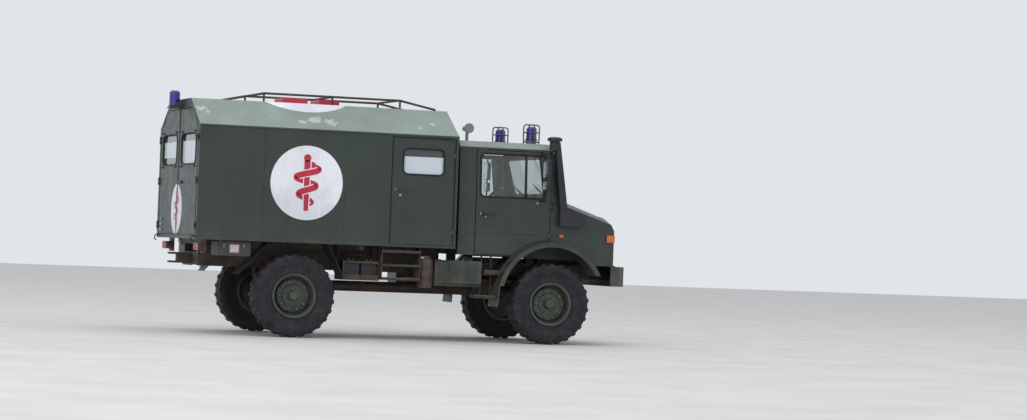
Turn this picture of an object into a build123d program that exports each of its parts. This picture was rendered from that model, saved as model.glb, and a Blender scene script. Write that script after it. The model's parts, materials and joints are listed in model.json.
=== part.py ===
"""Military ambulance truck: a light four wheel drive truck with portal axles and a box body.

Frame: +X forward, +Y to the vehicle's left, +Z up. The origin is on the ground, half way
between the bumper's face and the back of the rear beacon. All sizes are millimetres.
"""

from build123d import *
import math
import os

# Overall layout
axle_behind_firewall = 50
rear_overhang = 1400  # rear axle to the back of the rear beacon
track = 1860

# Fits
bearing_gap = 0.3  # a pin or spindle in its bore
seat_gap = 0.3  # a piece on its curved seat
running_gap = 6  # between pieces that turn past each other
door_gap = 8  # round a door or lid

# Wheels
tyre_radius = 500
tyre_width = 318
tread_base_radius = 482
sidewall_radius = 430  # where the tyre is widest
sidewall_tuck = 4  # that place, from the full width
shoulder_tuck = 38  # the tread's edge, from the full width
lug_count = 26  # on each shoulder
lug_inner_y = 12  # from the tyre's middle
lug_outer_tuck = 22
rim_seat_radius = 250
rim_flange_radius = 272
rim_seat_width = 236
rim_plate = 10
rim_lip = 12
trough_radius = 207  # inner wall of the trough inside the rim
trough_back = 10  # wheel's centre plane back to its floor
disc_reach = 40  # wheel's centre plane to the disc's outer edge
disc_rise = 12  # from there to the disc's crest
disc_edge_radius = 196
disc_radius = 142  # crest
hub_radius = 126
hub_sink = 12  # the hub's face, behind the crest
hub_cap_radius = 50
hub_cap_foot = 64
hub_cap_reach = 105  # wheel's centre plane to the cap's face
drum_radius = 190

# Portal axles
portal_drop = 125  # wheel centre below the axle tube's centre
kingpin_y = 730
axle_tube_radius = 58
diff_radius = 155
diff_half = 105
diff_taper = 50
diff_neck = 12  # wider than the axle tube
portal_inner_y = 816
portal_thickness = 50
portal_radius = 88
backing_plate = 6
backing_radius = 178
spindle_radius = 45
spindle_reach = 55  # wheel's centre plane to the spindle's end
king_post_radius = 50
king_post_half = 70
kingpin_radius = 20
yoke_thickness = 30
steer_arm_forward = 260
steer_arm_width = 50
ball_pin_radius = 12
ball_pin_height = 44
tie_rod_radius = 16
tie_rod_eye_radius = 27
tie_rod_eye_height = 42
torque_tube_radius = 65

# Springs and dampers
spring_y = 505
spring_radius = 62
spring_wire = 20
spring_turns = 6
spring_seat_radius = 72
spring_seat_height = 16
spring_top_drop = 40  # rail's top to the spring's upper seat
spring_bracket_plate = 12
spring_bracket_reach = 75  # outside the spring's axis
spring_bracket_back = 85
spring_rib_drop = 120
damper_offset = 118  # forward of the axle at the front, behind it at the rear
damper_radius = 32
damper_rod_radius = 12
damper_rod_length = 70
damper_lug_half = 30
damper_lug_height = 40

# Ladder frame and the box's subframe
rail_outer_y = 410
rail_flange = 70
rail_plate = 8
rail_bottom_z = 815
rail_height = 170
rail_rear_overhang = 1050  # rear axle to the rails' rear end
cross_tube_radius = 45
cross_tube_behind_axle = 330
cross_tube_ahead_of_axle = 430
cross_tube_behind_box_front = 900
cross_tube_behind_gearbox = 200
end_beam_depth = 90
cab_mount_half = 45
subframe_beam_height = 90
bearer_half = 610
bearer_width = 60
bearer_count = 6
sill_height = 70

# Engine, gearbox and radiator
engine_length = 590
engine_gap = 20  # firewall to the engine
engine_half = 280
engine_bottom_z = 800
engine_height = 560
gearbox_half = 190
gearbox_rear = 800  # firewall to the gearbox's rear face
gearbox_top_z = 1040
transfer_length = 350
transfer_slope = 230
transfer_bottom_z = 560
transfer_step_z = 690
engine_mount_length = 90
engine_mount_back = 250  # engine's front to its mount
gearbox_mount_ahead = 120
engine_mount_inset = 40  # below the rail's top and above its bottom
radiator_half = 400
radiator_depth = 55
radiator_height = 430
radiator_back = 10  # behind the rails' front ends

# Box body
box_rear_overhang = 1244  # rear axle to the box's rear face
box_length = 3210
box_width = 2304
box_bottom_z = 1135
box_side_height = 1359
roof_rise = 331
roof_flat_width = 1160
box_wall = 40
box_floor = 60
rear_frame_depth = 60
rear_frame_side = 62
rear_frame_slope = 66
rear_frame_top = 115
rear_frame_sill = 40
rear_door_split = 10
glass_thickness = 6

# Openings in the box
side_door_width = 788
side_door_front = 45  # box's front to the door's front edge
side_door_sill = 36
side_door_head = 38  # below the eave
side_window_length = 516
side_window_height = 314
side_window_front = 182  # box's front to the window's front end
side_window_top = 165  # below the eave
side_window_corner = 60
rear_window_inner_y = 130
rear_window_length = 820
rear_window_height = 370
rear_window_top = 94  # below the eave
rear_window_corner = 80

# Door hinges
hinge_pin_radius = 6
hinge_barrel_radius = 11
hinge_offset = 13  # axis outside the skin
hinge_half = 45
hinge_eye = 25  # height of each fixed eye
hinge_barrel_half = 19
hinge_leaf = 34
hinge_leaf_plate = 7
hinge_root = 5  # sunk into the skin
rear_hinge_low = 160  # above the box's bottom
rear_hinge_middle = 700
rear_hinge_high = 150  # below the eave
side_hinge_low = 200
side_hinge_high = 230
cab_hinge_low = 90  # above the wheel arch
cab_hinge_high = 90  # below the waist

# Door handles
handle_length = 180
handle_height = 18
handle_plate = 12
handle_stand = 10
handle_boss_radius = 20
cab_handle_back = 100  # door's rear edge to the handle's middle
cab_handle_z = 1574
side_handle_back = 110
side_handle_rise = 650  # door's sill to the handle
rear_handle_y = 215
rear_handle_rise = 680

# Cab
cab_gap = 74  # box to cab
cab_half = 1000
cab_bottom_z = 1070
cab_waist_z = 1790
gutter_tuck = 35  # each side, from the waist to the gutter
gutter_z = 2375
roof_edge_tuck = 75  # gutter to the roof's fold
roof_edge_z = 2467
roof_crown_z = 2493
cab_skin = 40
gutter_lip = 8
gutter_height = 14
roof_sag = 8
roof_wall = 30
roof_visor = 25
cab_mount_inset = 120  # cab's rear wall and firewall to the rubber mounts' centres
cab_length = 1260  # rear wall to firewall
screen_base_forward = 110  # firewall to the windscreen's base
screen_top_back = 50  # firewall back to the windscreen's top
scuttle_bottom_z = 1420
cab_door_rear = 222  # cab's rear wall to the door's rear edge
cab_door_front = 80  # firewall to the door's front edge
cab_door_margin = 15
cab_window_corner = 50
cab_window_sill_z = 1790
cab_window_height = 530
cab_window_rear = 50  # door's rear edge to the glass
cab_window_front = 65
cab_rear_window_inset = 380
cab_rear_window_sill_z = 1880
cab_rear_window_height = 380
screen_border = 70

# Front wheel arches
arch_radius = 700
arch_rise = 55  # arch centre above the wheel's centre
arch_lip = 55
arch_flange = 18
arch_door_gap = 25
wing_flare = 140
wing_rear_z = 703
wing_front_z = 865
liner_inner_y = 600
liner_plate = 8
liner_bottom_z = 1050  # over the tyre, so that it can steer
mudflap_inner_y = 760
mudflap_bottom_z = 446
mudflap_lean = 22
mudflap_plate = 10

# Nose
nose_length = 685  # windscreen's base to the front panel's face
nose_drop = 240  # bonnet's fall over that length
shoulder_width = 300
shoulder_drop = 85
brow_drop = 78  # the front edge's fall, over the front panel
nose_taper = 60  # each side, over the nose's length
nose_skin = 22
nose_bottom_z = 990
front_panel_plate = 35
grille_half = 520
grille_bottom_z = 1060
grille_height = 400
grille_bars = 9
grille_bar_height = 16
grille_bar_recess = 8
grille_bar_face = 4  # behind the panel's face
grille_post_half = 10
headlamp_radius = 92
headlamp_inset = 340
headlamp_z = 1150
headlamp_depth = 60
headlamp_bulge = 12
headlamp_edge = 22

# Small lamps on the nose and the cab
indicator_length = 106
indicator_depth = 30
indicator_bottom_z = 1287
indicator_height = 87
marker_half_length = 26
marker_half_height = 16
marker_depth = 16
marker_z = 1343
marker_behind_screen = 35
marker_ahead_of_cab_rear = 50

# Bumper
bumper_reach = 125  # nose's front to the bumper's face
bumper_depth = 205
bumper_crop = 90
bumper_height = 244
bumper_bottom_z = 744
bumper_half = 1080
bumper_wall = 8

# Tow couplings
jaw_bore_radius = 20
jaw_wall = 25
jaw_mouth = 80
jaw_depth = 100
rear_jaw_z = 900
rear_jaw_overhang = 1275  # rear axle to the pin
jaw_half_width = 55

# Beacons and roof fittings
beacon_radius = 75
beacon_base = 22
beacon_shoulder = 22
beacon_dome_tuck = 10
beacon_top_tuck = 30
rear_beacon_height = 206
beacon_shelf = 10
beacon_shelf_gap = 10  # over the rear doors
beacon_shelf_half = 85
cab_beacon_height = 172
cab_beacon_rise = 22  # roof's crown to the beacons' feet
cab_beacon_inset = 380
cab_beacon_back = 235  # firewall to the beacons' axis
rack_tube_radius = 14
rack_cross_radius = 13
rack_half = 500
rack_rise = 105
rack_behind_axle = 757
rack_rear_slope = 422
rack_front_slope = 454
rack_length = 2594
vent_half = 210
vent_height = 75
vent_kerb_height = 20
vent_kerb = 12
rear_vent_behind_axle = 30
rear_vent_length = 320
front_vent_ahead = 430  # rear axle to the front vent's rear end
front_vent_length = 260
siren_radius = 62
siren_throat_radius = 34
siren_length = 190
siren_z = 2640
siren_y = 330
siren_back = 985  # firewall to the horn's mouth
siren_foot_half = 16

# Mirrors
mirror_arm_radius = 11
mirror_arm_back = 205  # firewall to the arms
mirror_arm_low_z = 1765
mirror_arm_high_z = 2345
mirror_reach = 200  # cab's side to the mirrors' middle
mirror_back = 24  # arm to the heads' rear face
mirror_depth = 44
mirror_corner = 22
mirror_width = 170
mirror_bottom_z = 2045
mirror_height = 230
small_mirror_width = 150
small_mirror_bottom_z = 1895
small_mirror_height = 115

# Raised air intake, ahead of the firewall
snorkel_depth = 100
snorkel_gap = 4
snorkel_foot_rear = 20
snorkel_foot_front = 344
snorkel_foot_bottom_z = 1464
snorkel_foot_step_z = 1603
snorkel_foot_top_z = 1696
snorkel_shoulder = 108
snorkel_knee_front = 60
snorkel_knee_rear = -24
snorkel_knee_z = 2020
snorkel_top_front = -13
snorkel_top_rear = -70
snorkel_top_z = 2494
snorkel_cap_radius = 92
snorkel_cap_neck = 62
snorkel_collar = 95  # the neck's depth below the duct's top
snorkel_cap_rim = 34
snorkel_cap_height = 64
snorkel_cap_back = 72  # firewall to the cap's axis

# Tank and lockers under the box
tank_back = 214  # box's front to the tank's rear end
tank_step_gap = 27  # the tank's front end to the upper cab step
tank_inner_y = 640
tank_width = 410
tank_bottom_z = 675
tank_height = 318
tank_chamfer = 45
tank_ribs = 4
tank_rib_height = 26
tank_rib_depth = 8
tank_strap_width = 50
tank_strap_inset = 120
tank_strap_drop = 20
locker_behind = 970  # rear axle to the rear end
locker_length = 405
locker_inner_y = 760
locker_width = 330
locker_bottom_z = 951
locker_height = 165
locker_hanger_inset = 70
locker_hanger_side = 35

# Battery tray under the box's right side
battery_ahead = 604  # rear axle to the rear end
battery_step_gap = 10  # the tray's front end to the side door's steps
battery_inner_y = 620
battery_outer_y = 1000
battery_bottom_z = 712
battery_plate = 12
battery_frame_height = 231
battery_lip = 70
battery_height = 205
battery_gap = 24
battery_hanger = 90
battery_cap_radius = 17
battery_cap_height = 44
battery_cap_inset = 75

# Steps
step_plate = 6
step_back = 897  # box's front to the rear end of the side door's steps
step_length = 492
step_inner_y = 840
step_outer_y = 1080
step_bottom_z = 729
step_rise = 165
step_tray_height = 26
step_cheek = 14
step_count = 3
cab_step_inner_y = 880
cab_step_width = 210
cab_step_back = 869  # arch's centre to the upper step's rear end
cab_step_length = 204
cab_step_z = 839
cab_step_height = 44
low_step_back = 995
low_step_length = 280
low_step_out = 20
low_step_z = 544
low_step_height = 31
step_hanger_depth = 30
step_hanger_inset = 18

# Exhaust
silencer_behind_box_front = 312  # box's front to the silencer's axis
silencer_y = 950
silencer_radius = 90
silencer_bottom_z = 648
silencer_height = 354
silencer_cap_radius = 60
silencer_cap_height = 36
exhaust_radius = 28
exhaust_z = 755
exhaust_y = 235
exhaust_ahead = 200  # firewall to the pipe's bend

# Mudguards and lamps at the rear
mudguard_inner_y = 770
mudguard_width = 340
mudguard_plate = 8
mudguard_flange = 50
mudguard_bottom_z = 736
mudguard_front_top = 385
mudguard_front_foot = 590
mudguard_rear_top = 338
mudguard_rear_foot = 707
lamp_ahead = 61  # box's rear face to the lamp's face
lamp_depth = 80
lamp_inner_y = 780
lamp_width = 260
lamp_bottom_z = 1000
lamp_height = 92
lamp_bracket = 12
lamp_bracket_drop = 970
number_plate_behind = 940  # rear axle to the plate's face
number_plate_inner_y = 450
number_plate_width = 520
number_plate_height = 101
number_plate_bottom_z = 806
number_plate_depth = 10
number_plate_strut = 36

# Inside
seat_inner_y = 250
seat_width = 470
seat_ahead = 160  # cab's rear wall to the cushion
seat_base_inset = 60
seat_base_height = 240
seat_base_length = 400
cushion_length = 500
cushion_height = 130
seat_back_depth = 120
seat_back_lean = 110
seat_back_height = 630
seat_back_top = 80
dash_side_gap = 60
dash_bottom_z = 1500
dash_lip_z = 1560
dash_face_z = 1700
dash_top_z = 1750
dash_depth = 230
dash_lip_depth = 200
column_y = 480
column_radius = 28
column_length = 280
column_angle = 35  # above level
column_root_z = 1600
column_root_depth = 100
steering_wheel_radius = 225
steering_wheel_rim = 30
spoke_width = 40
spoke_plate = 14
stretcher_length = 1900
stretcher_ahead = 250  # box's rear face to the stretchers
stretcher_inner_y = 480
stretcher_outer_y = 1040
stretcher_plate = 90
stretcher_low = 320  # floor to the lower deck
stretcher_high = 860
stretcher_post = 40
stretcher_post_depth = 60
stretcher_post_height = 1100
stretcher_post_inset = 60

# Places that follow from the sizes
front_reach = (box_length - box_rear_overhang + cab_gap + cab_length + screen_base_forward + nose_length
               + bumper_reach)  # rear axle to the bumper's face
overall_length = rear_overhang + front_reach
rear_axle_x = rear_overhang - overall_length / 2
bumper_face_x = rear_axle_x + front_reach
brow_length = front_panel_plate + door_gap
bumper_back_x = bumper_face_x - bumper_depth
wheel_y = track / 2
wheel_z = tyre_radius
tube_z = wheel_z + portal_drop
rail_top_z = rail_bottom_z + rail_height
rail_rear_x = rear_axle_x - rail_rear_overhang
rail_front_x = bumper_back_x
web_inner_y = rail_outer_y - rail_plate
gutter_half = cab_half - gutter_tuck
roof_edge_half = gutter_half - roof_edge_tuck
cab_rear_window_half = cab_half - cab_rear_window_inset
cab_beacon_y = cab_half - cab_beacon_inset
bonnet_half = cab_half - shoulder_width
wing_outer_y = cab_half + wing_flare
headlamp_y = cab_half - headlamp_inset
box_rear_x = rear_axle_x - box_rear_overhang
box_front_x = box_rear_x + box_length
box_half = box_width / 2
roof_half = roof_flat_width / 2
eave_z = box_bottom_z + box_side_height
roof_z = eave_z + roof_rise
floor_top_z = box_bottom_z + box_floor
cab_rear_x = box_front_x + cab_gap
firewall_x = cab_rear_x + cab_length
front_axle_x = firewall_x - axle_behind_firewall
screen_base_x = firewall_x + screen_base_forward
screen_top_x = firewall_x - screen_top_back
cab_door_x0 = cab_rear_x + cab_door_rear
cab_door_x1 = firewall_x - cab_door_front
cab_door_z0 = cab_bottom_z + cab_door_margin
cab_door_z1 = gutter_z - cab_door_margin
cab_hinge_x = cab_door_x1 + door_gap / 2
arch_x = front_axle_x - 10
arch_z = wheel_z + arch_rise
nose_rear_x = screen_base_x
nose_front_x = nose_rear_x + nose_length
bonnet_rear_z = cab_waist_z + 10
gearbox_rear_x = firewall_x - gearbox_rear
side_door_x1 = box_front_x - side_door_front
side_door_x0 = side_door_x1 - side_door_width
side_door_z0 = box_bottom_z + side_door_sill
side_door_z1 = eave_z - side_door_head
rear_shelf_z = roof_z - rear_frame_top - door_gap + beacon_shelf_gap

os.makedirs("parts", exist_ok=True)


def solids_of(shape):
    return [Solid(s.wrapped) for s in shape.solids()]


def block(x, y, z):
    """A box from its limits along each axis."""
    size = Box(x[1] - x[0], y[1] - y[0], z[1] - z[0])
    return Pos((x[0] + x[1]) / 2, (y[0] + y[1]) / 2, (z[0] + z[1]) / 2) * size


def prism_x(outline, x0, x1):
    """A polygon of (y, z) points extruded along X."""
    face = Face(Wire.make_polygon([(x0, y, z) for y, z in outline], close=True))
    return Solid.extrude(face, Vector(x1 - x0, 0, 0))


def prism_y(outline, y0, y1):
    """A polygon of (x, z) points extruded along Y."""
    face = Face(Wire.make_polygon([(x, y0, z) for x, z in outline], close=True))
    return Solid.extrude(face, Vector(0, y1 - y0, 0))


def prism_z(outline, z0, z1):
    """A polygon of (x, y) points extruded along Z."""
    face = Face(Wire.make_polygon([(x, y, z0) for x, y in outline], close=True))
    return Solid.extrude(face, Vector(0, 0, z1 - z0))


def rod(start, end, radius):
    """A round bar between two points."""
    axis = Vector(*end) - Vector(*start)
    plane = Plane(origin=start, z_dir=axis)
    return Solid.extrude(Face(Wire(Edge.make_circle(radius, plane))), axis)


def bar(points, radius):
    """Round bars through a row of points, with balls at the bends."""
    rods = [rod(start, end, radius) for start, end in zip(points, points[1:])]
    balls = [Solid.make_sphere(radius).moved(Location(point)) for point in points[1:-1]]
    return fused(rods + balls)


def fused(shapes):
    """One shape from several that overlap or touch."""
    solids = [s for shape in shapes for s in solids_of(shape)]
    return solids[0].fuse(*solids[1:])


def turned(outline, arc=360):
    """An outline of (radius, y) points turned about the Y axis."""
    face = Face(Wire.make_polygon([(r, y, 0) for r, y in outline], close=True))
    return Solid.revolve(face, arc, Axis.Y)


def window(x_or_y, z, corner, depth, across):
    """A round-cornered window: limits along the wall, heights, corner radius and depth."""
    length, height = x_or_y[1] - x_or_y[0], z[1] - z[0]
    middle, level = (x_or_y[0] + x_or_y[1]) / 2, (z[0] + z[1]) / 2
    if across == "y":
        plane = Plane(origin=(middle, depth[0], level), x_dir=(-1, 0, 0), z_dir=(0, 1, 0))
    else:
        plane = Plane(origin=(depth[0], middle, level), x_dir=(0, 1, 0), z_dir=(1, 0, 0))
    return extrude(plane * RectangleRounded(length, height, corner), amount=depth[1] - depth[0])


def mirrored(shape):
    return mirror(shape, about=Plane.XZ)


def both(shape):
    """The shape and its mirror image, as separate solids."""
    return Compound(children=solids_of(shape) + solids_of(mirrored(shape)))


def group(*shapes):
    """Several shapes in one node, as separate solids."""
    return Compound(children=[s for shape in shapes for s in solids_of(shape)])


def save(name, shape):
    solids = solids_of(shape)
    export_step(solids[0] if len(solids) == 1 else Compound(children=solids), f"parts/{name}.step")


def save_pair(name, left):
    """One piece on the left and its mirror image on the right, as two nodes."""
    save(f"{name}_left", left)
    save(f"{name}_right", mirrored(left))


# Wheels

def tyre():
    """Flat-faced sectors with a lug on one shoulder and then the other, about the Y axis."""
    half = tyre_width / 2
    bead = rim_seat_width / 2 - seat_gap
    sectors = 2 * lug_count
    widen = 1 / math.cos(math.pi / sectors)
    top = tyre_radius * widen
    side = [
        ((rim_seat_radius + seat_gap) * widen, bead),
        ((rim_flange_radius + seat_gap) * widen, bead),
        (sidewall_radius, half - sidewall_tuck),
    ]
    shoulder = (tread_base_radius, half - shoulder_tuck)
    root = (tread_base_radius, lug_inner_y)
    crest = [(top, half - lug_outer_tuck), (top, lug_inner_y), root]
    faces = []
    for i in range(sectors):
        hand = 1 if i % 2 == 0 else -1
        outline = [(r, hand * y) for r, y in side + crest]
        outline += [(r, -hand * y) for r, y in [root, shoulder] + side[::-1]]
        cheek = [(r, hand * y) for r, y in [side[-1]] + crest + [shoulder]]
        first, second = [
            [sector_point(r, y, place / sectors) for r, y in outline] for place in (i - 0.5, i + 0.5)
        ]
        for a, b in zip(range(-1, len(outline) - 1), range(len(outline))):
            faces.append(polygon_face([first[a], first[b], second[b], second[a]]))
        for place in (i - 0.5, i + 0.5):
            faces.append(polygon_face([sector_point(r, y, place / sectors) for r, y in cheek]))
    return Solid(Shell(faces))


def sector_point(radius, y, turns):
    """A point at a radius from the Y axis, turned from +Z."""
    angle = 2 * math.pi * turns
    return radius * math.sin(angle), y, radius * math.cos(angle)


def polygon_face(points):
    return Face(Wire.make_polygon(points, close=True))


def rim():
    """Rim, disc, hub and brake drum in one turned piece, outer side towards +Y."""
    seat = rim_seat_width / 2
    barrel = rim_seat_radius - rim_plate
    flange = seat + rim_lip
    bore = spindle_radius + bearing_gap
    drum_back = portal_inner_y + portal_thickness + backing_plate + running_gap - wheel_y
    floor, crest = -trough_back, disc_reach + disc_rise
    hub_face = crest - hub_sink
    outline = [
        (rim_flange_radius, -flange), (rim_flange_radius, -seat), (rim_seat_radius, -seat),
        (rim_seat_radius, seat), (rim_flange_radius, seat), (rim_flange_radius, flange),
        (barrel, flange - rim_lip / 2), (barrel, floor), (trough_radius, floor),
        (disc_edge_radius, disc_reach), (disc_radius, crest), (hub_radius, hub_face),
        (hub_cap_foot, hub_face), (hub_cap_radius, hub_cap_reach), (0, hub_cap_reach),
        (0, spindle_reach + bearing_gap), (bore, spindle_reach + bearing_gap), (bore, drum_back),
        (drum_radius, drum_back), (drum_radius, floor - rim_plate),
        (barrel, floor - rim_plate), (barrel, -flange + rim_lip / 2),
    ]
    return turned(outline)


def wheel_places():
    """Axle name, axle X."""
    return [("front", front_axle_x), ("rear", rear_axle_x)]


def save_wheels():
    tyre_shape, rim_shape = tyre(), rim()
    for axle, x in wheel_places():
        place = Pos(x, wheel_y, wheel_z)
        save_pair(f"tyre_{axle}", place * tyre_shape)
        save_pair(f"rim_{axle}", place * rim_shape)


# Axles

def portal_housing(x):
    """The left portal gear housing, with the brake's backing plate and the spindle."""
    y0 = portal_inner_y
    y1 = y0 + portal_thickness
    housing = rod((x, y0, wheel_z), (x, y1, wheel_z), portal_radius)
    housing += rod((x, y0, tube_z), (x, y1, tube_z), portal_radius)
    housing += block((x - portal_radius, x + portal_radius), (y0, y1), (wheel_z, tube_z))
    housing += rod((x, y1, wheel_z), (x, y1 + backing_plate, wheel_z), backing_radius)
    housing += rod((x, y1, wheel_z), (x, wheel_y + spindle_reach, wheel_z), spindle_radius)
    return housing


def axle_casing(x, forward, end_y):
    """Axle tubes with the differential, spring seats, damper lugs and the torque tube's ball."""
    casing = rod((x, -end_y, tube_z), (x, end_y, tube_z), axle_tube_radius)
    casing += turned_diff(x)
    seat_z = tube_z + axle_tube_radius + spring_seat_height
    lug_x = sorted((x, x + forward * (damper_offset + damper_lug_half)))
    lug_z = (tube_z - axle_tube_radius + damper_rod_radius, tube_z - axle_tube_radius + damper_rod_radius
             + damper_lug_height)
    for y in (-spring_y, spring_y):
        casing += rod((x, y, tube_z), (x, y, seat_z), spring_seat_radius)
        casing += block(lug_x, (y - damper_lug_half, y + damper_lug_half), lug_z)
    return casing


def turned_diff(x):
    """The differential casing: a drum with tapered sides."""
    neck = axle_tube_radius + diff_neck
    end = diff_half + diff_taper
    outline = [(0, -end), (neck, -end), (diff_radius, -diff_half), (diff_radius, diff_half), (neck, end),
               (0, end)]
    return Pos(x, 0, tube_z) * turned(outline)


def front_axle():
    axle = axle_casing(front_axle_x, 1, kingpin_y)
    for side in (-1, 1):
        y = side * kingpin_y
        low, high = tube_z - king_post_half, tube_z + king_post_half
        axle += rod((front_axle_x, y, low), (front_axle_x, y, high), king_post_radius)
        reach = yoke_thickness + bearing_gap
        axle += rod((front_axle_x, y, low - reach), (front_axle_x, y, high + reach), kingpin_radius)
    transfer_front_x = gearbox_rear_x + transfer_length
    axle += rod((front_axle_x, 0, tube_z), (transfer_front_x, 0, tube_z), torque_tube_radius)
    return axle


def rear_axle():
    axle = axle_casing(rear_axle_x, -1, portal_inner_y)
    axle += rod((rear_axle_x, 0, tube_z), (gearbox_rear_x, 0, tube_z), torque_tube_radius)
    axle += portal_housing(rear_axle_x)
    axle += mirrored(portal_housing(rear_axle_x))
    return axle


def knuckle():
    """The left knuckle: portal housing, a yoke round the king post, and the steering arm."""
    x = front_axle_x
    shape = portal_housing(x)
    low = tube_z - king_post_half - bearing_gap
    high = tube_z + king_post_half + bearing_gap
    bore = kingpin_radius + bearing_gap
    for z0, z1 in ((low - yoke_thickness, low), (high, high + yoke_thickness)):
        arm = rod((x, kingpin_y, z0), (x, kingpin_y, z1), king_post_radius)
        arm += block((x - king_post_radius, x + king_post_radius),
                     (kingpin_y, portal_inner_y + 10), (z0, z1))
        shape += arm
    z0, z1 = low - yoke_thickness, low
    end_x, end_y = x + steer_arm_forward, kingpin_y
    half = steer_arm_width / 2
    shape += block((x, end_x), (end_y - half, end_y + half), (z0, z1))
    shape += rod((end_x, end_y, z0), (end_x, end_y, z1), half)
    shape += rod((end_x, end_y, z1), (end_x, end_y, z1 + ball_pin_height), ball_pin_radius)
    reach = 2 * yoke_thickness
    pin_hole = rod((x, kingpin_y, low - reach), (x, kingpin_y, high + reach), bore)
    return shape - pin_hole


def tie_rod():
    """The rod that joins the two steering arms, with an eye on each arm's pin."""
    x = front_axle_x + steer_arm_forward
    y = kingpin_y
    z0 = tube_z - king_post_half
    z1 = z0 + tie_rod_eye_height
    shape = rod((x, -y, (z0 + z1) / 2), (x, y, (z0 + z1) / 2), tie_rod_radius)
    for side in (-1, 1):
        shape += rod((x, side * y, z0), (x, side * y, z1), tie_rod_eye_radius)
    for side in (-1, 1):
        shape -= rod((x, side * y, z0 - 5), (x, side * y, z1 + 5), ball_pin_radius + bearing_gap)
    return shape


# Frame

def frame_rails():
    """Two channels that open towards the middle."""
    outer, inner = rail_outer_y, rail_outer_y - rail_flange
    outline = [
        (inner, rail_bottom_z), (outer, rail_bottom_z), (outer, rail_top_z), (inner, rail_top_z),
        (inner, rail_top_z - rail_plate), (web_inner_y, rail_top_z - rail_plate),
        (web_inner_y, rail_bottom_z + rail_plate), (inner, rail_bottom_z + rail_plate),
    ]
    return both(prism_x(outline, rail_rear_x, rail_front_x))


def frame_crossmembers():
    """Tubes between the rails' webs, a beam at each end, and the cab's mounts."""
    z = (rail_bottom_z + rail_top_z) / 2
    places = (rear_axle_x - cross_tube_behind_axle, rear_axle_x + cross_tube_ahead_of_axle,
              box_front_x - cross_tube_behind_box_front, gearbox_rear_x - cross_tube_behind_gearbox)
    tubes = [rod((x, -web_inner_y, z), (x, web_inner_y, z), cross_tube_radius) for x in places]
    beams = [
        block(x, (-web_inner_y, web_inner_y), (rail_bottom_z + rail_plate, rail_top_z - rail_plate))
        for x in ((rail_rear_x, rail_rear_x + end_beam_depth), (rail_front_x - end_beam_depth, rail_front_x))
    ]
    mounts = [
        both(block((x - cab_mount_half, x + cab_mount_half), (rail_outer_y - rail_flange, rail_outer_y),
                   (rail_top_z, cab_bottom_z)))
        for x in (cab_rear_x + cab_mount_inset, firewall_x - cab_mount_inset)
    ]
    return group(*tubes, *beams, *mounts)


def body_subframe():
    """The two long beams between the rails and the box's bearers."""
    return both(block((rail_rear_x, box_front_x), (rail_outer_y - rail_flange, rail_outer_y),
                      (rail_top_z, rail_top_z + subframe_beam_height)))


def suspension():
    """At each wheel a coil spring under its bracket, and a damper beside it."""
    corners = []
    bottom = tube_z + axle_tube_radius + spring_seat_height
    top = rail_top_z - spring_top_drop
    pitch = (top - bottom) / spring_turns
    inner = spring_radius - spring_wire
    outer_y = spring_y + spring_bracket_reach
    for x, forward in ((front_axle_x, 1), (rear_axle_x, -1)):
        rings = [(0, 0)]
        for i in range(spring_turns):
            rings += [(inner, i * pitch), (spring_radius, (i + 0.5) * pitch)]
        rings += [(inner, top - bottom), (0, top - bottom)]
        face = Face(Wire.make_polygon([(r, 0, z) for r, z in rings], close=True))
        coil = Pos(x, spring_y, bottom) * Solid.revolve(face, 360, Axis.Z)
        damper_x = x + forward * damper_offset
        bracket_x = sorted((x - forward * spring_bracket_back, damper_x + forward * spring_bracket_reach / 2))
        shape = coil + block(bracket_x, (rail_outer_y, outer_y), (top, top + spring_bracket_plate))
        for rib_x in (bracket_x[0], bracket_x[1] - spring_bracket_plate):
            rib = [(rail_outer_y, top), (outer_y, top), (rail_outer_y, top - spring_rib_drop)]
            shape += prism_x(rib, rib_x, rib_x + spring_bracket_plate)
        lug_top = tube_z - axle_tube_radius + damper_rod_radius + damper_lug_height
        foot = lug_top + damper_rod_length
        shape += rod((damper_x, spring_y, foot), (damper_x, spring_y, top), damper_radius)
        shape += rod((damper_x, spring_y, lug_top), (damper_x, spring_y, foot), damper_rod_radius)
        corners.append(shape)
    return group(*[both(shape) for shape in corners])


def powertrain():
    """Engine, gearbox and transfer case as plain blocks, with the mounts that reach the rails."""
    x0 = firewall_x + engine_gap
    x1 = x0 + engine_length
    shape = block((x0, x1), (-engine_half, engine_half), (engine_bottom_z, engine_bottom_z + engine_height))
    transfer_x = gearbox_rear_x + transfer_length
    outline = [
        (gearbox_rear_x, transfer_bottom_z), (transfer_x, transfer_bottom_z), (transfer_x, transfer_step_z),
        (transfer_x + transfer_slope, engine_bottom_z), (x0, engine_bottom_z), (x0, gearbox_top_z),
        (gearbox_rear_x, gearbox_top_z),
    ]
    shape += prism_y(outline, -gearbox_half, gearbox_half)
    heights = (rail_bottom_z + engine_mount_inset, rail_top_z - engine_mount_inset)
    places = ((x1 - engine_mount_back, engine_half), (gearbox_rear_x + gearbox_mount_ahead, gearbox_half))
    for x, half in places:
        mount = block((x, x + engine_mount_length), (half, web_inner_y), heights)
        shape += mount + mirrored(mount)
    return shape


def radiator():
    """The radiator's core, standing on the rails behind the grille."""
    x1 = rail_front_x - radiator_back
    return block((x1 - radiator_depth, x1), (-radiator_half, radiator_half),
                 (rail_top_z, rail_top_z + radiator_height))


# Box body

def slope_z(y, inset):
    """Height of the roof's slope at a distance from the middle, moved in by an inset."""
    run = box_half - roof_half
    slant = math.hypot(run, roof_rise)
    return eave_z + (box_half - y) * roof_rise / run - inset * slant / run


def slope_y(z, inset):
    """Distance from the middle of the roof's slope at a height, moved in by an inset."""
    run = box_half - roof_half
    slant = math.hypot(run, roof_rise)
    return box_half - (z - eave_z + inset * slant / run) * run / roof_rise


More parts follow.
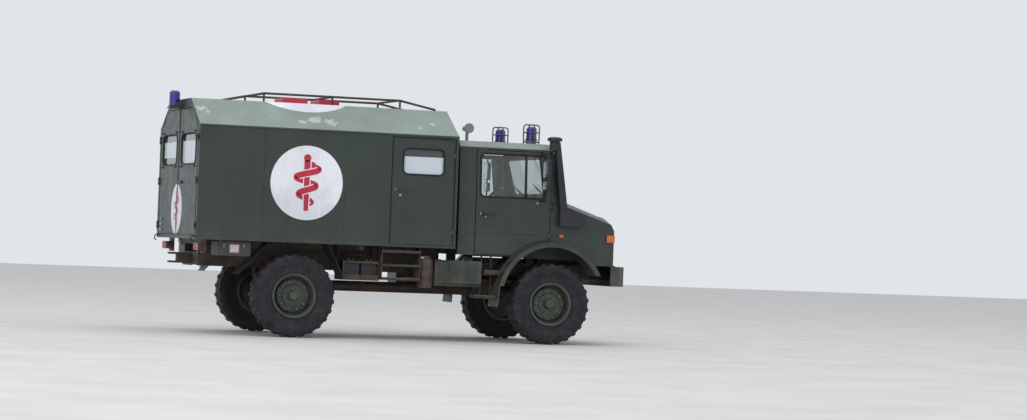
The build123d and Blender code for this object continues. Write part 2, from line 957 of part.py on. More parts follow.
def box_profile(side, slope, top, bottom):
    """The box's six-sided outline as (y, z) points, moved in by a distance on each edge."""
    y, z = box_half - side, roof_z - top
    return [
        (-y, box_bottom_z + bottom), (y, box_bottom_z + bottom), (y, slope_z(y, slope)),
        (slope_y(z, slope), z), (-slope_y(z, slope), z), (-y, slope_z(y, slope)),
    ]


def side_window_hole():
    x1 = box_front_x - side_window_front
    z1 = eave_z - side_window_top
    return (x1 - side_window_length, x1), (z1 - side_window_height, z1)


def box_side_walls():
    """The left wall with its window, and the right wall with the side door's opening."""
    x0 = box_rear_x + rear_frame_depth
    x1 = box_front_x
    y = (box_half - box_wall, box_half)
    left = block((x0, x1), y, (box_bottom_z, eave_z))
    right = mirrored(left)
    across, heights = side_window_hole()
    left -= window(across, heights, side_window_corner, (y[0] - 10, y[1] + 10), "y")
    right -= block((side_door_x0 - door_gap, side_door_x1 + door_gap), (-y[1] - 10, -y[0] + 10),
                   (side_door_z0 - door_gap, side_door_z1 + door_gap))
    for z in side_hinge_heights():
        right += mirrored(side_hinge(False, side_door_x1 + door_gap / 2, box_half, z))
    return group(left, right)


def box_front_wall():
    half = box_half - box_wall
    x = (box_front_x - box_wall, box_front_x)
    return block(x, (-half, half), (box_bottom_z, eave_z))


def box_floor_panel():
    """The floor, with the bearers across the subframe under it and the sills at their ends."""
    half = box_half - box_wall
    shape = block((box_rear_x + rear_frame_depth, box_front_x - box_wall), (-half, half),
                  (box_bottom_z, floor_top_z))
    x0, x1 = rail_rear_x, box_front_x - box_wall
    bearer_z = (rail_top_z + subframe_beam_height, box_bottom_z)
    step = (x1 - x0 - bearer_width) / (bearer_count - 1)
    for i in range(bearer_count):
        x = x0 + i * step
        shape += block((x, x + bearer_width), (-bearer_half, bearer_half), bearer_z)
    sill_z = (box_bottom_z - sill_height, box_bottom_z)
    sill = block((x0, x1), (bearer_half - bearer_width / 2, bearer_half), sill_z)
    return shape + sill + mirrored(sill)


def box_roof():
    """The flat and its two slopes in one folded shell, with a closed front end."""
    x0, x1 = box_rear_x + rear_frame_depth, box_front_x
    top = [(-box_half, eave_z), (box_half, eave_z), (roof_half, roof_z), (-roof_half, roof_z)]
    inner_half = box_half - box_wall
    ceiling = roof_z - box_wall
    run = (box_half - roof_half) / roof_rise
    ceiling_half = inner_half - (ceiling - eave_z) * run
    under = [(-inner_half, eave_z), (inner_half, eave_z), (ceiling_half, ceiling), (-ceiling_half, ceiling)]
    return prism_x(top, x0, x1) - prism_x(under, x0 - 10, x1 - box_wall)


def rear_frame():
    """The frame round the rear doors, with the hinge pins and the beacon's shelf."""
    x0, x1 = box_rear_x, box_rear_x + rear_frame_depth
    outer = box_profile(0, 0, 0, 0)
    hole = box_profile(rear_frame_side, rear_frame_slope, rear_frame_top, rear_frame_sill)
    shape = prism_x(outer, x0, x1) - prism_x(hole, x0 - 10, x1 + 10)
    for z in rear_hinge_heights():
        left = rear_hinge(False, z)
        shape += left
        shape += mirrored(left)
    shelf_x = box_rear_x - rear_beacon_reach()
    shelf_top = rear_shelf_z + beacon_shelf
    half = beacon_shelf_half
    shape += block((shelf_x, x0), (-half, half), (rear_shelf_z, shelf_top))
    cheek = [(x0, rear_shelf_z), (x0, roof_z - beacon_shelf), (x0 - beacon_shelf, roof_z - beacon_shelf),
             (shelf_x, shelf_top), (shelf_x, rear_shelf_z)]
    for y in (-half, half - beacon_shelf / 2):
        shape += prism_y(cheek, y, y + beacon_shelf / 2)
    return shape


def rear_beacon_reach():
    """The shelf's reach behind the box."""
    return rear_overhang - box_rear_overhang


# Hinges: a pin held at both ends, and a barrel on the door between them

def hinge(moving):
    """Half a hinge about the Z axis. The skin lies towards -Y, its fixed side towards +X."""
    side = -1 if moving else 1
    if moving:
        heights = [(-hinge_barrel_half, hinge_barrel_half)]
    else:
        heights = [(-hinge_half, -hinge_half + hinge_eye), (hinge_half - hinge_eye, hinge_half)]
    edge = side * (door_gap / 2 + 1)
    leaf = [
        (0, hinge_barrel_radius), (side * hinge_leaf, -hinge_offset + hinge_leaf_plate),
        (side * hinge_leaf, -hinge_offset - hinge_root), (edge, -hinge_offset - hinge_root),
        (edge, -hinge_offset), (0, -hinge_offset),
    ]
    parts = []
    for z0, z1 in heights:
        parts.append(rod((0, 0, z0), (0, 0, z1), hinge_barrel_radius))
        parts.append(prism_z(leaf, z0, z1))
    if moving:
        return fused(parts) - rod((0, 0, -hinge_half), (0, 0, hinge_half), hinge_pin_radius + bearing_gap)
    return fused(parts + [rod((0, 0, -hinge_half), (0, 0, hinge_half), hinge_pin_radius)])


def side_hinge(moving, x, skin, z):
    """A hinge of a door on the left side that opens at its rear edge."""
    return Pos(x, skin + hinge_offset, z) * hinge(moving)


def rear_hinge(moving, z):
    """A hinge of the left rear door."""
    x, y = rear_hinge_axis()
    return Pos(x, y, z) * Rot(0, 0, 90) * hinge(moving)


def rear_hinge_axis():
    """X and Y of the left rear door's hinge axis."""
    return box_rear_x - hinge_offset, box_half - rear_frame_side - door_gap / 2


def rear_hinge_heights():
    return [box_bottom_z + rear_hinge_low, box_bottom_z + rear_hinge_middle, eave_z - rear_hinge_high]


def side_hinge_heights():
    return [box_bottom_z + side_hinge_low, eave_z - side_hinge_high]


def cab_hinge_heights():
    return [arch_z + arch_radius + cab_hinge_low, cab_waist_z - cab_hinge_high]


def door_handle(x, z):
    """A bar handle on a round boss, on a skin in the plane y = 0 that faces +Y."""
    x0, x1 = -handle_boss_radius, handle_length - handle_boss_radius
    face = handle_stand + handle_plate
    outline = [(x0, handle_stand), (x1, handle_stand), (x1, face - handle_plate / 2),
               (handle_length / 3, face), (x0, face)]
    grip = prism_z(outline, -handle_height / 2, handle_height / 2)
    boss = rod((0, -handle_plate, 0), (0, handle_stand + handle_plate / 2, 0), handle_boss_radius)
    return Pos(x, 0, z) * fused([grip, boss])


# Doors of the box

def rear_window_limits():
    z1 = eave_z - rear_window_top
    return (rear_window_inner_y, rear_window_inner_y + rear_window_length), (z1 - rear_window_height, z1)


def rear_door():
    """The left rear door, a panel cut to the roof's slope."""
    inset = door_gap
    y1 = box_half - rear_frame_side - inset
    z1 = roof_z - rear_frame_top - inset
    slope = rear_frame_slope + inset
    split = rear_door_split / 2
    z0 = box_bottom_z + rear_frame_sill + inset
    outline = [(split, z0), (y1, z0), (y1, slope_z(y1, slope)), (slope_y(z1, slope), z1), (split, z1)]
    x = (box_rear_x, box_rear_x + box_wall)
    door = prism_x(outline, *x)
    across, heights = rear_window_limits()
    door -= window(across, heights, rear_window_corner, (x[0] - 10, x[1] + 10), "x")
    for z in rear_hinge_heights():
        door += rear_hinge(True, z)
    return door


def rear_door_handle():
    """The handle of the right rear door, its bar ending beside the split."""
    place = Pos(box_rear_x, -rear_handle_y, box_bottom_z + rear_handle_rise)
    return place * Rot(0, 0, 90) * door_handle(0, 0)


def rear_door_glass():
    across, heights = rear_window_limits()
    x = box_rear_x + box_wall / 2
    return window(across, heights, rear_window_corner, (x, x + glass_thickness), "x")


def side_door():
    """The box's right side door, hinged at its front edge."""
    y = (-box_half, -box_half + box_wall)
    door = block((side_door_x0, side_door_x1), y, (side_door_z0, side_door_z1))
    across, heights = side_window_hole()
    door -= window(across, heights, side_window_corner, (y[0] - 10, y[1] + 10), "y")
    for z in side_hinge_heights():
        door += mirrored(side_hinge(True, side_door_x1 + door_gap / 2, box_half, z))
    handle = door_handle(side_door_x0 + side_handle_back, side_door_z0 + side_handle_rise)
    return door + mirrored(Pos(0, box_half, 0) * handle)


def cab_side_y(z):
    """Distance from the middle of the cab's side at a height."""
    if z <= cab_waist_z:
        return cab_half
    return cab_half - (cab_half - gutter_half) * (z - cab_waist_z) / (gutter_z - cab_waist_z)


def side_glass(side):
    across, heights = side_window_hole()
    y = side * (box_half - box_wall / 2)
    return window(across, heights, side_window_corner, (y, y + glass_thickness), "y")


# Cab

def cab_section(inset):
    """Half outline of the cab above its floor, as (y, z) points."""
    return [(cab_half - inset, cab_bottom_z), (cab_half - inset, cab_waist_z),
            (gutter_half - inset, gutter_z)]


def cab_solid(inset, floor_z, front_x, rear_x):
    """The cab's outer or inner form, cut by the windscreen's plane."""
    side = cab_section(inset)
    side[0] = (side[0][0], floor_z)
    outline = side + [(-y, z) for y, z in reversed(side)]
    form = prism_x(outline, rear_x, front_x)
    lean = (screen_base_x - screen_top_x) / (gutter_z - cab_waist_z)
    shift = inset * math.hypot(1, lean)
    far = front_x + cab_half
    cut = [
        (screen_base_x - shift, cab_waist_z), (screen_top_x - shift, gutter_z),
        (screen_top_x - shift - 100 * lean, gutter_z + 100), (far, gutter_z + 100), (far, cab_waist_z),
    ]
    return form - prism_y(cut, -cab_half - 10, cab_half + 10)


def arch_drum(radius, y0, y1):
    return rod((arch_x, y0, arch_z), (arch_x, y1, arch_z), radius)


def cab_door_hole(gap):
    """The left door's opening, as a solid that cuts through the cab's side."""
    rear_gap = gap + 2 if gap else 0
    y = (cab_half - 2 * cab_skin - 20, cab_half + 20)
    return block((cab_door_x0 - rear_gap, cab_door_x1 + gap), y, (cab_door_z0 - gap, cab_door_z1 + gap))


def cab_shell():
    """Floor, rear wall, pillars, cowl and firewall in one shell, open at the top."""
    outer = cab_solid(0, cab_bottom_z, screen_base_x, cab_rear_x)
    notch = [(firewall_x, cab_bottom_z - 10), (screen_base_x + 10, cab_bottom_z - 10),
             (screen_base_x + 10, scuttle_bottom_z), (firewall_x, scuttle_bottom_z)]
    outer -= prism_y(notch, -cab_half + cab_skin, cab_half - cab_skin)
    inner = cab_solid(cab_skin, cab_bottom_z + cab_skin, firewall_x - cab_skin, cab_rear_x + cab_skin)
    shape = outer - inner
    cowl_rear_x = firewall_x - cab_skin - 5
    cowl = cab_solid(cab_skin, scuttle_bottom_z + cab_skin, screen_base_x - cab_skin, cowl_rear_x)
    cowl -= block((firewall_x - 100, screen_base_x), (-cab_half, cab_half), (0, cab_waist_z))
    shape -= cowl
    screen = windscreen_panel(-20, 60)
    shape -= screen
    z = (cab_rear_window_sill_z, cab_rear_window_sill_z + cab_rear_window_height)
    shape -= window((-cab_rear_window_half, cab_rear_window_half), z, cab_window_corner,
                    (cab_rear_x - 10, cab_rear_x + cab_skin + 10), "x")
    left = cab_door_hole(door_gap)
    shape -= left
    shape -= mirrored(left)
    well = arch_drum(arch_radius, liner_inner_y, cab_half + 20)
    well += arch_drum(arch_radius + arch_flange, cab_half - cab_skin - 10, cab_half + 20)
    shape -= well
    shape -= mirrored(well)
    for z in cab_hinge_heights():
        left_hinge = side_hinge(False, cab_hinge_x, cab_half, z)
        shape += left_hinge
        shape += mirrored(left_hinge)
    return shape


def windscreen_panel(depth0, depth1):
    """A slab in the windscreen's plane, with rounded corners, between two depths behind it."""
    base = Vector(screen_base_x, 0, cab_waist_z)
    top = Vector(screen_top_x, 0, gutter_z)
    height = (top - base).length
    up = (top - base).normalized()
    outward = Vector(up.Z, 0, -up.X)
    middle = (base + top) * 0.5
    plane = Plane(origin=middle - outward * depth1, x_dir=(0, 1, 0), z_dir=outward)
    width = 2 * (gutter_half - screen_border)
    sketch = plane * RectangleRounded(width, height - 2 * screen_border, 60)
    return extrude(sketch, amount=depth1 - depth0)


def cab_roof():
    """A folded roof pressing over the gutters, with the pedestals of the two beacons."""
    x0, x1 = cab_rear_x, screen_top_x + roof_visor
    inner, crown = roof_edge_half - roof_wall / 2, roof_crown_z - roof_sag - roof_wall
    under = [(-inner, gutter_z - 5), (inner, gutter_z - 5), (inner, gutter_z + roof_wall / 2),
             (inner / 2, crown), (-inner / 2, crown), (-inner, gutter_z + roof_wall / 2)]
    shape = cab_roof_form() - prism_x(under, x0 + cab_skin, x1 - cab_skin - roof_visor)
    radius = beacon_radius - beacon_dome_tuck
    for y in (-cab_beacon_y, cab_beacon_y):
        shape += rod((beacon_x(), y, roof_edge_z - roof_wall / 2), (beacon_x(), y, cab_beacon_z()), radius)
    return shape


def beacon_x():
    return firewall_x - cab_beacon_back


def cab_beacon_z():
    return roof_crown_z + cab_beacon_rise


def siren():
    """A horn on the cab's roof, pointing to the right, on a post."""
    x = firewall_x - siren_back
    mouth_y, throat_y = -siren_y - siren_length / 2, -siren_y + siren_length / 2
    outline = [(0, mouth_y), (siren_radius, mouth_y), (siren_radius, mouth_y + siren_throat_radius / 2),
               (siren_throat_radius, throat_y - siren_radius), (siren_throat_radius, throat_y), (0, throat_y)]
    horn = Pos(x, 0, siren_z) * turned(outline)
    foot = siren_foot_half
    post = block((x - foot, x + foot), (-siren_y - foot, -siren_y + foot), (roof_edge_z, siren_z))
    return horn + (post - cab_roof_form())


def cab_roof_form():
    """The cab roof's outer form."""
    lip = gutter_half + gutter_lip
    half, crown = roof_edge_half, roof_crown_z - roof_sag
    top = [(-lip, gutter_z), (lip, gutter_z), (lip, gutter_z + gutter_height), (half, roof_edge_z),
           (half / 2, crown), (-half / 2, crown), (-half, roof_edge_z), (-lip, gutter_z + gutter_height)]
    return prism_x(top, cab_rear_x, screen_top_x + roof_visor)


def cab_door():
    """The left cab door, cut away over the wheel arch."""
    form = cab_solid(0, cab_bottom_z, screen_base_x, cab_rear_x)
    form -= cab_solid(cab_skin, cab_bottom_z - 10, screen_base_x + 10, cab_rear_x - 10)
    door = form & cab_door_hole(0)
    door -= arch_drum(arch_radius + arch_door_gap, liner_inner_y, wing_outer_y)
    door -= cab_window()
    for z in cab_hinge_heights():
        door += side_hinge(True, cab_hinge_x, cab_half, z)
    handle = door_handle(cab_door_x0 + cab_handle_back, cab_handle_z)
    return door + Pos(0, cab_half, 0) * handle


def cab_window():
    x = (cab_door_x0 + cab_window_rear, cab_door_x1 - cab_window_front)
    z = (cab_window_sill_z, cab_window_sill_z + cab_window_height)
    return window(x, z, cab_window_corner, (cab_half - 150, cab_half + 20), "y")


def cab_door_glass():
    """The left door's glass, in the leaning plane of the cab's side."""
    skin = cab_solid(cab_skin / 2, cab_bottom_z, screen_base_x, cab_rear_x)
    skin -= cab_solid(cab_skin / 2 + glass_thickness, cab_bottom_z - 10, screen_base_x + 10, cab_rear_x - 10)
    return skin & cab_window()


def fixed_glass():
    """Windscreen, the cab's rear window and the box's left window."""
    z = (cab_rear_window_sill_z, cab_rear_window_sill_z + cab_rear_window_height)
    x = cab_rear_x + cab_skin / 2
    rear = window((-cab_rear_window_half, cab_rear_window_half), z, cab_window_corner,
                  (x, x + glass_thickness), "x")
    return group(windscreen_panel(10, 10 + glass_thickness), rear, side_glass(1))


# Nose

def nose_form(inset):
    """The nose's outer form, or the form inside its skin, as a faceted block."""
    top_drop = nose_drop / nose_length
    x0, x1 = nose_rear_x, nose_front_x - inset
    z0, z1 = bonnet_rear_z - inset, bonnet_rear_z - nose_drop - inset + inset * top_drop
    side = prism_y([(x0, nose_bottom_z - inset), (x1, nose_bottom_z - inset), (x1, z1), (x0, z0)],
                   -cab_half, cab_half)
    half0, half1 = cab_half - inset, cab_half - nose_taper - inset
    plan = prism_z([(x0, -half0), (x1, -half1), (x1, half1), (x0, half0)], 0, roof_z)
    form = side & plan
    forward = Vector(x1 - x0, 0, z1 - z0)
    brow_z = z1 + brow_length * top_drop
    brow = Vector(brow_length, 0, -brow_drop)
    planes = [((x1 - brow_length, 0, brow_z), brow, Vector(0, 1, 0))]
    for side_y in (bonnet_half, -bonnet_half):
        outward = Vector(0, math.copysign(cab_half - bonnet_half, side_y), -shoulder_drop)
        planes.append(((x0, side_y, z0), forward, outward))
        planes.append(((x1 - brow_length, side_y, brow_z), brow, outward))
    for edge, along, across in planes:
        normal = along.cross(across).normalized()
        if normal.Z < 0:
            normal = normal * -1
        form = split(form, bisect_by=Plane(origin=edge, x_dir=along, z_dir=normal), keep=Keep.BOTTOM)
    return form


def bonnet_zone(gap):
    """The space over the bonnet, wider by a gap."""
    return block((nose_rear_x - 5, nose_front_x + 50), (-bonnet_half - gap, bonnet_half + gap),
                 (bonnet_rear_z - nose_drop - 80, bonnet_rear_z + 50))


def bonnet():
    """The lid over the engine: a plate with side lips, and its two hinge leaves."""
    plate = nose_form(0) - nose_form(nose_skin)
    plate &= bonnet_zone(-running_gap)
    front_cut = block((nose_front_x - front_panel_plate - door_gap, nose_front_x + 10),
                      (-cab_half, cab_half), (0, roof_z))
    rear_cut = block((nose_rear_x - 10, nose_rear_x + door_gap), (-cab_half, cab_half), (0, roof_z))
    plate = plate - front_cut - rear_cut
    for y in bonnet_hinge_places():
        x, z = bonnet_hinge_axis()
        leaf = block((x - hinge_barrel_radius, x + 60), (y - 18, y + 18),
                     (z - hinge_barrel_radius, z + hinge_barrel_radius))
        drop = nose_drop / nose_length * 60
        leaf += block((x + door_gap + 4, x + 60), (y - 18, y + 18), (z - drop - 20, z))
        plate += leaf - rod((x, y - 30, z), (x, y + 30, z), hinge_pin_radius + bearing_gap)
    return plate


def bonnet_hinge_axis():
    """X and Z of the bonnet's hinge axis, over its rear edge."""
    return nose_rear_x + hinge_barrel_radius + 3, bonnet_rear_z + hinge_barrel_radius + 2


def bonnet_hinge_places():
    return (-bonnet_half + 140, bonnet_half - 140)


def bonnet_hinge_brackets():
    """The pins and their blocks on the cowl."""
    x, z = bonnet_hinge_axis()
    shape = None
    for y in bonnet_hinge_places():
        pin = rod((x, y - 40, z), (x, y + 40, z), hinge_pin_radius)
        for y0, y1 in ((y - 40, y - 19), (y + 19, y + 40)):
            heights = (bonnet_rear_z + 6, z + hinge_barrel_radius)
            pin += block((x - 40, x + hinge_barrel_radius - 2), (y0, y1), heights)
            pin += block((nose_rear_x - 20, nose_rear_x), (y0, y1), (cab_waist_z - 12, z))
        shape = pin if shape is None else shape + pin
    return shape


def front_wings():
    """Each side of the nose with its wheel arch: skin, flare, liner and mud flap."""
    skin = nose_form(0) - nose_form(nose_skin)
    skin -= bonnet_zone(0)
    skin -= block((nose_front_x - front_panel_plate, nose_front_x + 10), (-cab_half, cab_half), (0, roof_z))
    skin -= block((nose_rear_x - 10, nose_front_x + 10), (-bonnet_half, bonnet_half), (0, roof_z))
    left = skin & block((nose_rear_x, nose_front_x), (0, cab_half + 10), (0, roof_z))
    left -= arch_drum(arch_radius, liner_inner_y, wing_outer_y)
    band = arch_drum(arch_radius, liner_inner_y, wing_outer_y) - arch_drum(
        arch_radius - liner_plate, liner_inner_y + liner_plate, wing_outer_y + 10)
    band += arch_drum(arch_radius, wing_outer_y - liner_plate, wing_outer_y)
    band -= arch_drum(arch_radius - arch_lip, liner_inner_y + liner_plate, wing_outer_y + 10)
    band += arch_drum(arch_radius + arch_flange, cab_half - cab_skin - 10, cab_half) - arch_drum(
        arch_radius - liner_plate, liner_inner_y, cab_half + 10)
    reach = 2 * arch_radius
    below = [(arch_x - reach, -reach), (arch_x + reach, -reach), (arch_x + reach, wing_front_z),
             (arch_x, wing_front_z), (arch_x, wing_rear_z), (arch_x - reach, wing_rear_z)]
    band -= prism_y(below, 0, wing_outer_y + 20)
    band -= block((arch_x - reach, arch_x + reach), (liner_inner_y - 10, liner_inner_y + liner_plate),
                  (0, liner_bottom_z))
    left += band
    flap_x = arch_x - math.sqrt(arch_radius ** 2 - (wing_rear_z - arch_z) ** 2)
    foot_x, plate = flap_x - mudflap_lean, mudflap_plate
    flap = [(flap_x, wing_rear_z + plate), (flap_x, wing_rear_z), (foot_x, mudflap_bottom_z),
            (foot_x + plate, mudflap_bottom_z), (flap_x + plate, wing_rear_z),
            (flap_x + plate, wing_rear_z + plate)]
    left += prism_y(flap, mudflap_inner_y, wing_outer_y)
    return both(left)


def front_panel():
    """The grille and lamp panel, with its slots and lamp bowls cut through."""
    x0, x1 = nose_front_x - front_panel_plate, nose_front_x
    panel = nose_form(0) & block((x0, x1), (-cab_half, cab_half), (0, roof_z))
    heights = (grille_bottom_z, grille_bottom_z + grille_height)
    panel -= block((x0 - 10, x1 + 10), (-grille_half, grille_half), heights)
    bar_x = (x0 + grille_bar_recess, x1 - grille_bar_face)
    pitch = grille_height / (grille_bars + 1)
    for i in range(grille_bars):
        z = grille_bottom_z + (i + 1) * pitch
        bar_z = (z - grille_bar_height / 2, z + grille_bar_height / 2)
        panel += block(bar_x, (-grille_half, grille_half), bar_z)
    for y in (-grille_half / 3, grille_half / 3):
        panel += block(bar_x, (y - grille_post_half, y + grille_post_half), heights)
    for y in (-headlamp_y, headlamp_y):
        panel -= rod((x0 - 10, y, headlamp_z), (x1 + 10, y, headlamp_z), headlamp_radius + seat_gap)
    return panel


def headlamps():
    """A round lamp in each bowl, with a bulged lens."""
    x0, x1 = nose_front_x - front_panel_plate - headlamp_depth, nose_front_x
    outline = [(x0, 0), (x0, headlamp_radius - headlamp_edge), (x0 + headlamp_edge, headlamp_radius),
               (x1, headlamp_radius), (x1 + headlamp_bulge, headlamp_radius - headlamp_edge),
               (x1 + headlamp_bulge, 0)]
    face = Face(Wire.make_polygon([(x, y, 0) for x, y in outline], close=True))
    return both(Pos(0, headlamp_y, headlamp_z) * Solid.revolve(face, 360, Axis.X))


def indicators():
    """Corner lamps on the nose, and side markers on the nose and the cab."""
    slope = nose_taper / nose_length
    x1 = nose_front_x - seat_gap
    x0 = x1 - indicator_length
    y0 = cab_half - slope * (x0 - nose_rear_x)
    y1 = cab_half - slope * (x1 - nose_rear_x)
    corner = prism_z([(x0, y0), (x1, y1), (x1, y1 + indicator_depth), (x0, y0 + indicator_depth)],
                     indicator_bottom_z, indicator_bottom_z + indicator_height)
    places = [corner]
    for x in (cab_rear_x + marker_ahead_of_cab_rear, nose_rear_x - marker_behind_screen):
        places.append(block((x - marker_half_length, x + marker_half_length),
                            (cab_half, cab_half + marker_depth),
                            (marker_z - marker_half_height, marker_z + marker_half_height)))
    return group(*[both(shape) for shape in places])


def front_bumper():
    """A pressed channel with cropped ends, on two blocks at the rails."""
    x0, x1 = bumper_back_x, bumper_face_x
    z0, z1 = bumper_bottom_z, bumper_bottom_z + bumper_height
    crop, half, wall = bumper_crop, bumper_half, bumper_wall
    outer = prism_z([(x0, -half), (x1 - crop, -half), (x1, crop - half), (x1, half - crop),
                     (x1 - crop, half), (x0, half)], z0, z1)
    inner = prism_z([(x0 - 10, wall - half), (x1 - crop, wall - half), (x1 - wall, crop - half),
                     (x1 - wall, half - crop), (x1 - crop, half - wall), (x0 - 10, half - wall)],
                    z0 + wall, z1 - wall)
    shape = outer - inner
    for side in (-1, 1):
        y = sorted((side * (rail_outer_y - rail_flange), side * rail_outer_y))
        shape += block((x0, x1 - wall), y, (rail_bottom_z, z1 - wall))
    return shape


def tow_coupling():
    """A jaw with a vertical pin bore on the rear beam."""
    pin_x = rear_axle_x - rear_jaw_overhang
    half = jaw_mouth / 2 + jaw_wall
    reach = jaw_depth / 2
    shape = block((pin_x - reach, rail_rear_x), (-jaw_half_width, jaw_half_width),
                  (rear_jaw_z - half, rear_jaw_z + half))
    mouth = jaw_mouth / 2
    shape -= block((pin_x - reach - 10, pin_x + reach), (-jaw_half_width - 10, jaw_half_width + 10),
                   (rear_jaw_z - mouth, rear_jaw_z + mouth))
    shape -= rod((pin_x, 0, rear_jaw_z - half - 10), (pin_x, 0, rear_jaw_z + half + 10), jaw_bore_radius)
    return shape


# Outside fittings

def snorkel():
    """The raised air intake: a box on the right cowl, a duct up the pillar and its cap."""
    inner, outer = cab_half, cab_half + snorkel_depth
    outline = [
        (snorkel_foot_rear, snorkel_foot_bottom_z), (snorkel_foot_front, snorkel_foot_bottom_z),
        (snorkel_foot_front, snorkel_foot_step_z), (snorkel_shoulder, snorkel_foot_top_z),
        (snorkel_knee_front, snorkel_knee_z), (snorkel_top_front, snorkel_top_z),
        (snorkel_top_rear, snorkel_top_z), (snorkel_knee_rear, snorkel_knee_z),
        (snorkel_foot_rear, snorkel_foot_top_z),
    ]
    places = [(firewall_x + x, z) for x, z in outline]
    body = prism_y(places, inner, outer)
    taper = prism_x([(inner - 10, snorkel_foot_top_z), (inner + snorkel_gap, snorkel_knee_z),
                     (inner + snorkel_gap, snorkel_top_z + 10), (inner - 10, snorkel_top_z + 10)],
                    firewall_x - cab_length, nose_front_x)
    rim_z = (snorkel_cap_height - snorkel_cap_rim) / 2
    cap = [(0, -snorkel_collar), (snorkel_cap_neck, -snorkel_collar), (snorkel_cap_neck, rim_z),
           (snorkel_cap_radius, rim_z),
           (snorkel_cap_radius, rim_z + snorkel_cap_rim), (snorkel_cap_neck, snorkel_cap_height),
           (0, snorkel_cap_height)]
    face = Face(Wire.make_polygon([(r, 0, z) for r, z in cap], close=True))
    place = Pos(firewall_x - snorkel_cap_back, (inner + outer) / 2, snorkel_top_z)
    return mirrored(body - taper + place * Solid.revolve(face, 360, Axis.Z))


def mirror_set():
    """The left door's mirrors: a tall one and a small one on a bent arm."""
    r = mirror_arm_radius
    x, y = firewall_x - mirror_arm_back, cab_half + mirror_reach
    low_z, high_z = mirror_arm_low_z, mirror_arm_high_z
    arm = bar([(x, cab_half - cab_skin / 2, low_z), (x, y, low_z), (x, y, high_z),
               (x, cab_side_y(high_z) - cab_skin / 2, high_z)], r)
    arm -= cab_solid(0, cab_bottom_z, screen_base_x, cab_rear_x)
    heads = []
    for width, z, height in ((mirror_width, mirror_bottom_z, mirror_height),
                             (small_mirror_width, small_mirror_bottom_z, small_mirror_height)):
        heads.append(window((y - width / 2, y + width / 2), (z, z + height), mirror_corner,
                            (x - mirror_back, x - mirror_back + mirror_depth), "x"))
    return fused([arm] + heads)


def beacon(x, y, z, height):
    """One beacon: base ring and dome."""
    r = beacon_radius
    outline = [(0, 0), (r, 0), (r, beacon_base), (r - beacon_dome_tuck, beacon_base),
               (r - beacon_dome_tuck, height - beacon_shoulder), (r - beacon_top_tuck, height), (0, height)]
    face = Face(Wire.make_polygon([(a, 0, b) for a, b in outline], close=True))
    return Pos(x, y, z) * Solid.revolve(face, 360, Axis.Z)


def beacons():
    rear_x = box_rear_x - rear_beacon_reach() + beacon_radius
    cab = beacon(beacon_x(), cab_beacon_y, cab_beacon_z(), cab_beacon_height)
    return group(beacon(rear_x, 0, rear_shelf_z + beacon_shelf, rear_beacon_height), both(cab))


def roof_rack():
    """Two long rails on feet, joined by cross tubes, on the roof's flat."""
    r, foot = rack_tube_radius, rack_cross_radius
    z0, z1 = roof_z + r, roof_z + rack_rise
    x0 = rear_axle_x - rack_behind_axle
    x3 = x0 + rack_length
    x1, x2 = x0 + rack_rear_slope, x3 - rack_front_slope
    middle = (x1 + x2) / 2
    tubes = []
    for y in (-rack_half, rack_half):
        tubes.append(bar([(x0, y, z0), (x1, y, z1), (x2, y, z1), (x3, y, z0)], r))
        for foot_x, top in ((x0, z0), (x1, z1), (middle, z1), (x2, z1), (x3, z0)):
            tubes.append(rod((foot_x, y, roof_z), (foot_x, y, top), foot))
    for cross_x in (x1 + foot, middle + foot, x2 - foot):
        tubes.append(rod((cross_x, -rack_half, z1), (cross_x, rack_half, z1), foot))
    return fused(tubes)


def roof_vents():
    """Two low ventilator lids on the roof's flat, each on a kerb."""
    lids = []
    for x, length in ((rear_axle_x - rear_vent_behind_axle, rear_vent_length),
                      (rear_axle_x + front_vent_ahead, front_vent_length)):
        kerb = block((x + vent_kerb, x + length - vent_kerb), (-vent_half + vent_kerb, vent_half - vent_kerb),
                     (roof_z, roof_z + vent_kerb_height))
        top = roof_z + vent_height
        lid = prism_y([(x, roof_z + vent_kerb_height), (x + length, roof_z + vent_kerb_height),
                       (x + length, top - vent_kerb), (x + length - vent_kerb, top), (x + vent_kerb, top),
                       (x, top - vent_kerb)], -vent_half, vent_half)
        lids.append(kerb + lid)
    return group(*lids)


def fuel_tank():
    """The ribbed tank on the left, on straps from the rail."""
    return ribbed_box()


def ribbed_box():
    """A ribbed tank or locker with a cropped lower edge, on straps from the left rail."""
    x0 = box_front_x - tank_back
    x1 = arch_x - cab_step_back - tank_step_gap
    y0, y1 = tank_inner_y, tank_inner_y + tank_width
    z0, z1 = tank_bottom_z, tank_bottom_z + tank_height
    crop = tank_chamfer
    outline = [(y0, z0), (y1 - crop, z0), (y1, z0 + crop), (y1, z1 - crop / 2), (y1 - crop / 2, z1), (y0, z1)]
    shape = prism_x(outline, x0, x1)
    pitch = (tank_height - 2 * crop) / tank_ribs
    for i in range(tank_ribs):
        z = z0 + crop + i * pitch
        shape += block((x0 + crop, x1 - crop), (y1, y1 + tank_rib_depth), (z, z + tank_rib_height))
    for x in (x0 + tank_strap_inset, x1 - tank_strap_inset - tank_strap_width):
        shape += block((x, x + tank_strap_width), (rail_outer_y, y0),
                       (rail_bottom_z + tank_strap_drop, rail_top_z - tank_strap_drop))
    return shape


def side_lockers():
    """The ribbed locker on the right, and a small locker under each rear corner of the box."""
    x0 = rear_axle_x - locker_behind
    x1 = x0 + locker_length
    y0, y1 = locker_inner_y, locker_inner_y + locker_width
    z1 = locker_bottom_z + locker_height
    inset = locker_hanger_inset
    small = block((x0, x1), (y0, y1), (locker_bottom_z, z1))
    hanger_y = (y0 + locker_hanger_side, y1 - locker_hanger_side)
    small += block((x0 + inset, x1 - inset), hanger_y, (z1, box_bottom_z))
    return group(mirrored(ribbed_box()), both(small))


